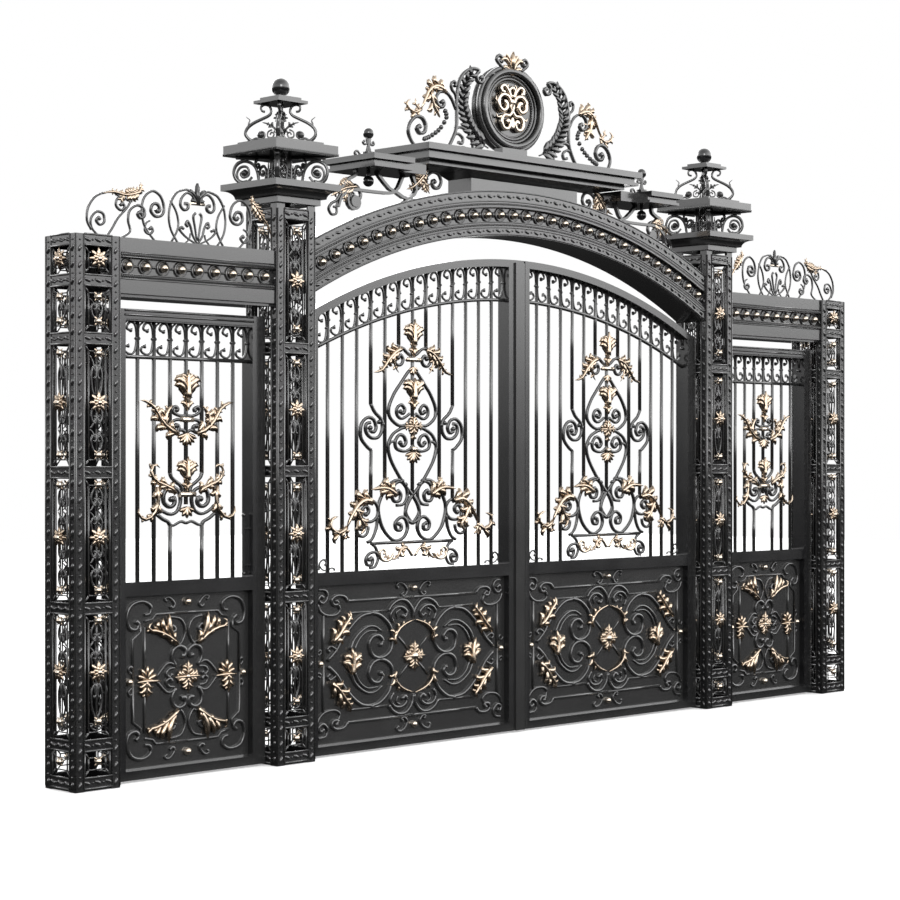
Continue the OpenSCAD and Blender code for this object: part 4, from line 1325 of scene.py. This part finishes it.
lantern += turned_four([box_mesh(40, 66, -13, 13, cap_top, slab_low, CAST)], PIER)
lyre = [
    line([[92, 3913], [112, 3918], [118, 3942], [96, 3956], [68, 3946], [57, 3914], [72, 3890],
          [114, 3869], [163, 3845], [198, 3817], [212, 3784], [198, 3754], [166, slab_top + 4]],
         12, 20),
    line([[193, 3815], [192, 3842], [186, 3862], [208, 3882]], 15, 3),
    line([[128, 3776], [120, 3792], [100, 3786], [98, 3764], [122, 3750], [150, 3752],
          [182, slab_top + 5]], 10, 14),
    line([[64, 3776], [54, 3790], [40, 3778], [52, 3758], [78, 3764], [76, 3792], [52, 3806]],
         9, 9),
    rod([[12, slab_top + 6], [200, slab_top + 6]], 12),
]
lyre += frond([[14, 3790], [50, 3826], [80, 3842], [112, 3850]], 34, 3)
lyre += frond([[10, 3850], [26, 3884], [22, 3916]], 30, 3)
stem = [line([[0, slab_top], [0, 3790]], 44, 30), line([[0, 3790], [0, 3870]], 30, 44),
        line([[0, 3870], [0, ball_z - 100]], 34, 26)]
finial = turned_four([forge(lyre, CAST, 1.4)], PIER)
finial += [moved(m, Matrix.Translation(PIER)) for m in (
    forge(stem, CAST), box_mesh(-116, 116, -116, 116, ball_z - 100, ball_z - 82, BLACK),
    box_mesh(-88, 88, -88, 88, ball_z - 82, ball_z - 63, BLACK),
    scatter(GLOBE, [(0, 0, ball_z, FINIAL_BALL_R), (0, 0, ball_z - 62, (42, 42, 16)),
                    (0, 0, 3904, (30, 30, 14))], CAST))]
finial += turned_four([moved(scatter(BALL, [(0, 0, 3774, 24)], CAST),
                             Matrix.Translation((0.120, 0, 0)))], PIER)
pair("cap_lantern", lantern, ROOT, ["cap_lantern"])
pair("finial", finial, ROOT, ["finial"])


# %% [markdown]
# ## Side shelves
# The small shelves beside the main cornice stand on bent brackets with balls and gilded leaves.
# The shelves themselves come from the CAD model, and the brackets get their leaves here.

# %% Scrolls and gilding of the brackets
SHELF_BALL_X = -1330
bracket_gold = frond([[-1440, 3520], [-1480, 3512], [-1540, 3500], [-1600, 3470], [-1655, 3440]],
                     92, 7)
bracket_gold += frond([[-1500, 3500], [-1530, 3450], [-1520, 3410]], 60, 4)
bracket_gold += frond([[-820, 3690], [-850, 3650], [-900, 3600], [-950, 3560], [-1005, 3540]],
                      80, 7)
bracket_gold += frond([[-860, 3620], [-830, 3570], [-800, 3530]], 60, 4)
bracket_black = [
    line([[-1452, 3455], [-1468, 3470], [-1484, 3450], [-1462, 3422], [-1420, 3432],
          [-1398, 3476], [-1430, 3520], [-1490, 3520], [-1560, 3470], [-1600, 3420],
          [-1640, 3400], [-1664, 3366], [-1640, 3330], [-1602, 3340], [-1600, 3374],
          [-1624, 3378]], 26, 14),
    line([[-742, 3604], [-756, 3618], [-772, 3600], [-752, 3572], [-712, 3578], [-690, 3620],
          [-716, 3664], [-770, 3670], [-816, 3640], [-850, 3590], [-900, 3548]], 26, 14),
]
bracket_black += shifted(both([
    line([[-36, 3812], [-46, 3802], [-34, 3790], [-14, 3800], [-16, 3830], [-2, 3850]], 16, 10),
    line([[-65, 3712], [-90, 3740], [-114, 3736], [-110, 3716]], 12, 18),
    line([[-60, 3710], [-20, 3740], [-4, 3800]], 20, 10),
]), SHELF_BALL_X)
pair("bracket_scrolls", [moved(forge(bracket_black, CAST), HOME),
                         moved(scatter(GLOBE, [(SHELF_BALL_X, 0, z, 35) for z in (3562, 3861)],
                                       CAST), HOME)], ROOT)
pair("bracket_gilding", [moved(forge(bracket_gold, GILT, 1.2), HOME)], ROOT)

# %% [markdown]
# ## The crowning crest
# An oval shield with stepped mouldings stands on the cornice. Its gilded scrollwork is a made-up
# pattern. Beside it, scrolls carry laurel sprays, beads and gilded acanthus.

# %% Shield
SY, SZ, CORNICE_Z = 17.0, 4168.0, 3817


def shield_front():
    rings = [(306, 280, 30, 12), (276, 250, 34, -6), (240, 222, 18, 8), (216, 202, 20, 14),
             (194, 186, 14, 24)]
    return [ring(0, SZ, a, w, y, 40, b) for a, b, w, y in rings]


def shield_scrolls():
    half = [
        line([[0, 142], [26, 120], [20, 92], [0, 80]], 22, 16),
        line([[16, 70], [36, 110], [74, 146], [108, 132], [100, 100], [78, 104]], 20, 26),
        line([[10, 30], [40, 74], [92, 84], [132, 50], [128, 0], [88, -22], [56, 2], [64, 36],
              [88, 36]], 24, 30),
        line([[0, -20], [30, -50], [80, -52], [106, -92], [86, -136], [44, -138], [24, -106],
              [44, -84], [60, -98]], 22, 26),
        line([[0, 60], [14, 10], [0, -30]], 20, 14),
        line([[0, -60], [10, -100], [0, -132]], 16, 24),
        line([[128, 20], [152, 44], [150, 70]], 16, 5),
        line([[100, -60], [138, -70], [150, -48]], 16, 5),
        line([[36, 110], [44, 140], [30, 162]], 16, 5),
    ]
    return shifted(both(half), z=4172, y=2)


beading = [(207 * math.cos(a), 14, SZ + 195 * math.sin(a), 8)
           for a in np.arange(72) * 2 * math.pi / 72]
field_shape = turned_shape("shield_field", [(1.0, 0), (0.99, 0.5), (0.8, 0.8), (0.4, 0.95),
                                            (0.05, 1.0)], 40)
edge_shape = turned_shape("shield_edge", [(1.0, 0), (1.0, 1.0), (0.96, 1.1), (0.6, 1.1)], 48)
place = HOME @ Matrix.Translation((0, SY / 1000, 0))
turn_back = HOME @ Matrix.Translation((0, 0.09, 0)) @ TURN_ROUND
dark = [forge(shield_front(), CAST), scatter(STUD, beading, CAST),
        scatter(edge_shape, [(0, 48, SZ, (316, 26, 290))], BLACK)]
field = scatter(field_shape, [(0, 34, SZ, (190, 12, 182))], GREY)
top_curls = both([
    line([[6, 262], [70, 262], [120, 286], [152, 318], [128, 346], [96, 330], [104, 304],
          [126, 312]], 18, 24),
    line([[150, 205], [190, 215], [230, 190]], 20, 8),
])
fleur_gold = [finger([[0, SZ + 225], [0, SZ + 300], [0, SZ + 384]], 62, -8,
                     (0.3, 0.4, 0.62, 0.9, 1, 0.7, 0.1))]
for w, path in ((44, [[4, 232], [24, 290], [62, 330], [98, 322], [104, 300]]),
                (34, [[4, 228], [40, 268], [78, 274], [92, 252]]),
                (30, [[2, 240], [20, 312], [44, 352], [62, 356]])):
    fleur_gold += both([finger([[x, SZ + z] for x, z in path], w, -2)])
foot = moved(box_mesh(-120, 120, -10, 66, 3837, 3900, BLACK), HOME)
gold = forge(shield_scrolls(), GILT, 1.3)
both_sides = (place, turn_back)
piece("shield", [moved(m, place) for m in dark] + [moved(m, turn_back) for m in dark]
      + [moved(forge(shifted(top_curls, z=SZ), CAST), place), foot],
      "root", ["cartouche"])
piece("shield_field", [moved(field, side) for side in both_sides], "root")
piece("shield_gilding", [moved(gold, side) for side in both_sides]
      + [moved(forge(fleur_gold, GILT, 1.4), place)], "root")


# %% Scrolls, laurel and acanthus beside the shield
crest_bars = [
    line([[-326, 4332], [-314, 4346], [-300, 4330], [-318, 4304], [-352, 4314], [-362, 4352],
          [-338, 4382], [-400, 4388], [-470, 4356], [-522, 4290], [-546, 4180], [-546, 4060],
          [-552, 3980], [-590, 3900], [-650, CORNICE_Z]], 22, 20),
    line([[-566, 4250], [-556, 4266], [-572, 4282], [-596, 4264], [-588, 4226], [-556, 4196],
          [-545, 4130]], 20, 14),
    line([[-690, 4130], [-676, 4142], [-664, 4124], [-686, 4100], [-722, 4114], [-734, 4158],
          [-706, 4196], [-650, 4204], [-596, 4170], [-552, 4100]], 24, 16),
    line([[-878, 3945], [-892, 3958], [-906, 3940], [-884, 3912], [-844, 3924], [-830, 3970],
          [-862, 4012], [-920, 4012], [-968, 3972], [-984, 3918], [-962, 3862], [-915, CORNICE_Z]],
         26, 18),
    line([[-560, 3975], [-505, 3990], [-440, 3965], [-400, 3905], [-392, CORNICE_Z]], 18, 16),
    line([[-600, 3880], [-570, 3930], [-530, 3944], [-490, 3920], [-500, 3884], [-530, 3890]],
         14, 20),
    line([[-560, 3830], [-500, 3860], [-440, 3850], [-420, CORNICE_Z]], 20, 12),
]
bead_line = smooth([[-652, 4080], [-640, 4040], [-690, 3970], [-740, 3930], [-800, 3896],
                    [-840, 3880]], 2)
laurel = smooth([[-420, 4335], [-470, 4260], [-486, 4170], [-480, 4100], [-446, 4030],
                 [-400, 3970], [-330, 3915], [-250, 3880]], 2)
leaves = []
for k, (x, z) in enumerate(laurel[:-1]):
    ahead = laurel[k + 1] - laurel[k]
    a = math.degrees(math.atan2(ahead[0], ahead[1]))
    grown = 62 + 2.2 * k
    for s in (-1, 1):
        leaves.append((x, -6, z, (grown, 60, grown * 1.15), (0, a + 180 + s * 42, 0)))
    leaves.append((x, 6, z, (grown * 0.9, -60, grown * 1.1), (0, a + 180, 0)))
crest_bars.append(rod(laurel, 9))
crest_gold = frond([[-650, 4200], [-700, 4228], [-760, 4226], [-810, 4190], [-840, 4130],
                    [-882, 4062]], 104, 5, sides=(0.8, 0.8))
crest_gold += frond([[-870, 4070], [-925, 4040], [-985, 4060], [-1000, 4095], [-972, 4118]], 66, 4,
                    sides=(1, 0.4))
crest_gold += frond([[-880, 4058], [-920, 4090], [-925, 4130]], 50, 2)
crest_gold += frond([[-780, 4190], [-772, 4120], [-730, 4060], [-710, 4030]], 92, 3)
pair("crest_scroll", [moved(forge(crest_bars, CAST, 1.3), HOME),
                      moved(scatter(BALL, [(x, 0, z, 17) for x, z in bead_line], CAST), HOME),
                      moved(scatter(PETAL, leaves, CAST), HOME)], ROOT,
     ["crest_scroll"])
pair("crest_gilding", [moved(forge(crest_gold, GILT, 1.3), HOME)], ROOT)

# %% [markdown]
# ## Small trims
# Fine beading runs under the wicket's top rail and down its edge, and a rope runs round the
# upper slab of each cap.


# %% Beads on rails and slabs
def bead_row(start, end, step, size):
    a, b = np.array(start, float), np.array(end, float)
    n = int(np.linalg.norm(b - a) / step)
    return [(*(a + (b - a) * (k + 0.5) / n), size) for k in range(n)]


fx0, fx1 = (v.x * 1000 - MID * 1000 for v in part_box("wicket_frame_left"))
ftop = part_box("wicket_frame_left")[1].z * 1000
rail_beads = bead_row((fx0 + 100, -50, ftop - 58), (fx1 - 100, -50, ftop - 58), 15, 5)
rail_beads += bead_row((fx0 + 8, -50, 40), (fx0 + 8, -50, ftop - 20), 15, 4)
rail_rods = [rod([[fx0 + 90, z], [fx1 - 90, z]], 12, y=-50)
             for z in (ftop - 8, ftop - 34)]
pair("wicket_trim", front_and_back([scatter(STUD, rail_beads, CAST), forge(rail_rods, BLACK)]),
     WICKET)
slab = (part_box("cap_slab_left")[1].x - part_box("cap_slab_left")[0].x) * 500
edge_rope = [(x, -slab, slab_low + 8, (5, 7, 12), (0, 52, 0))
             for x in np.arange(6 - slab, slab, 15)]
pair("slab_rope", turned_four([scatter(STUD, edge_rope, CAST)], PIER, 0), ROOT)

# %% [markdown]
# ## Closing the scene
# The last cell prints how many triangles the skin adds.

# %% Finish
print("added triangles:", TOTAL["triangles"])
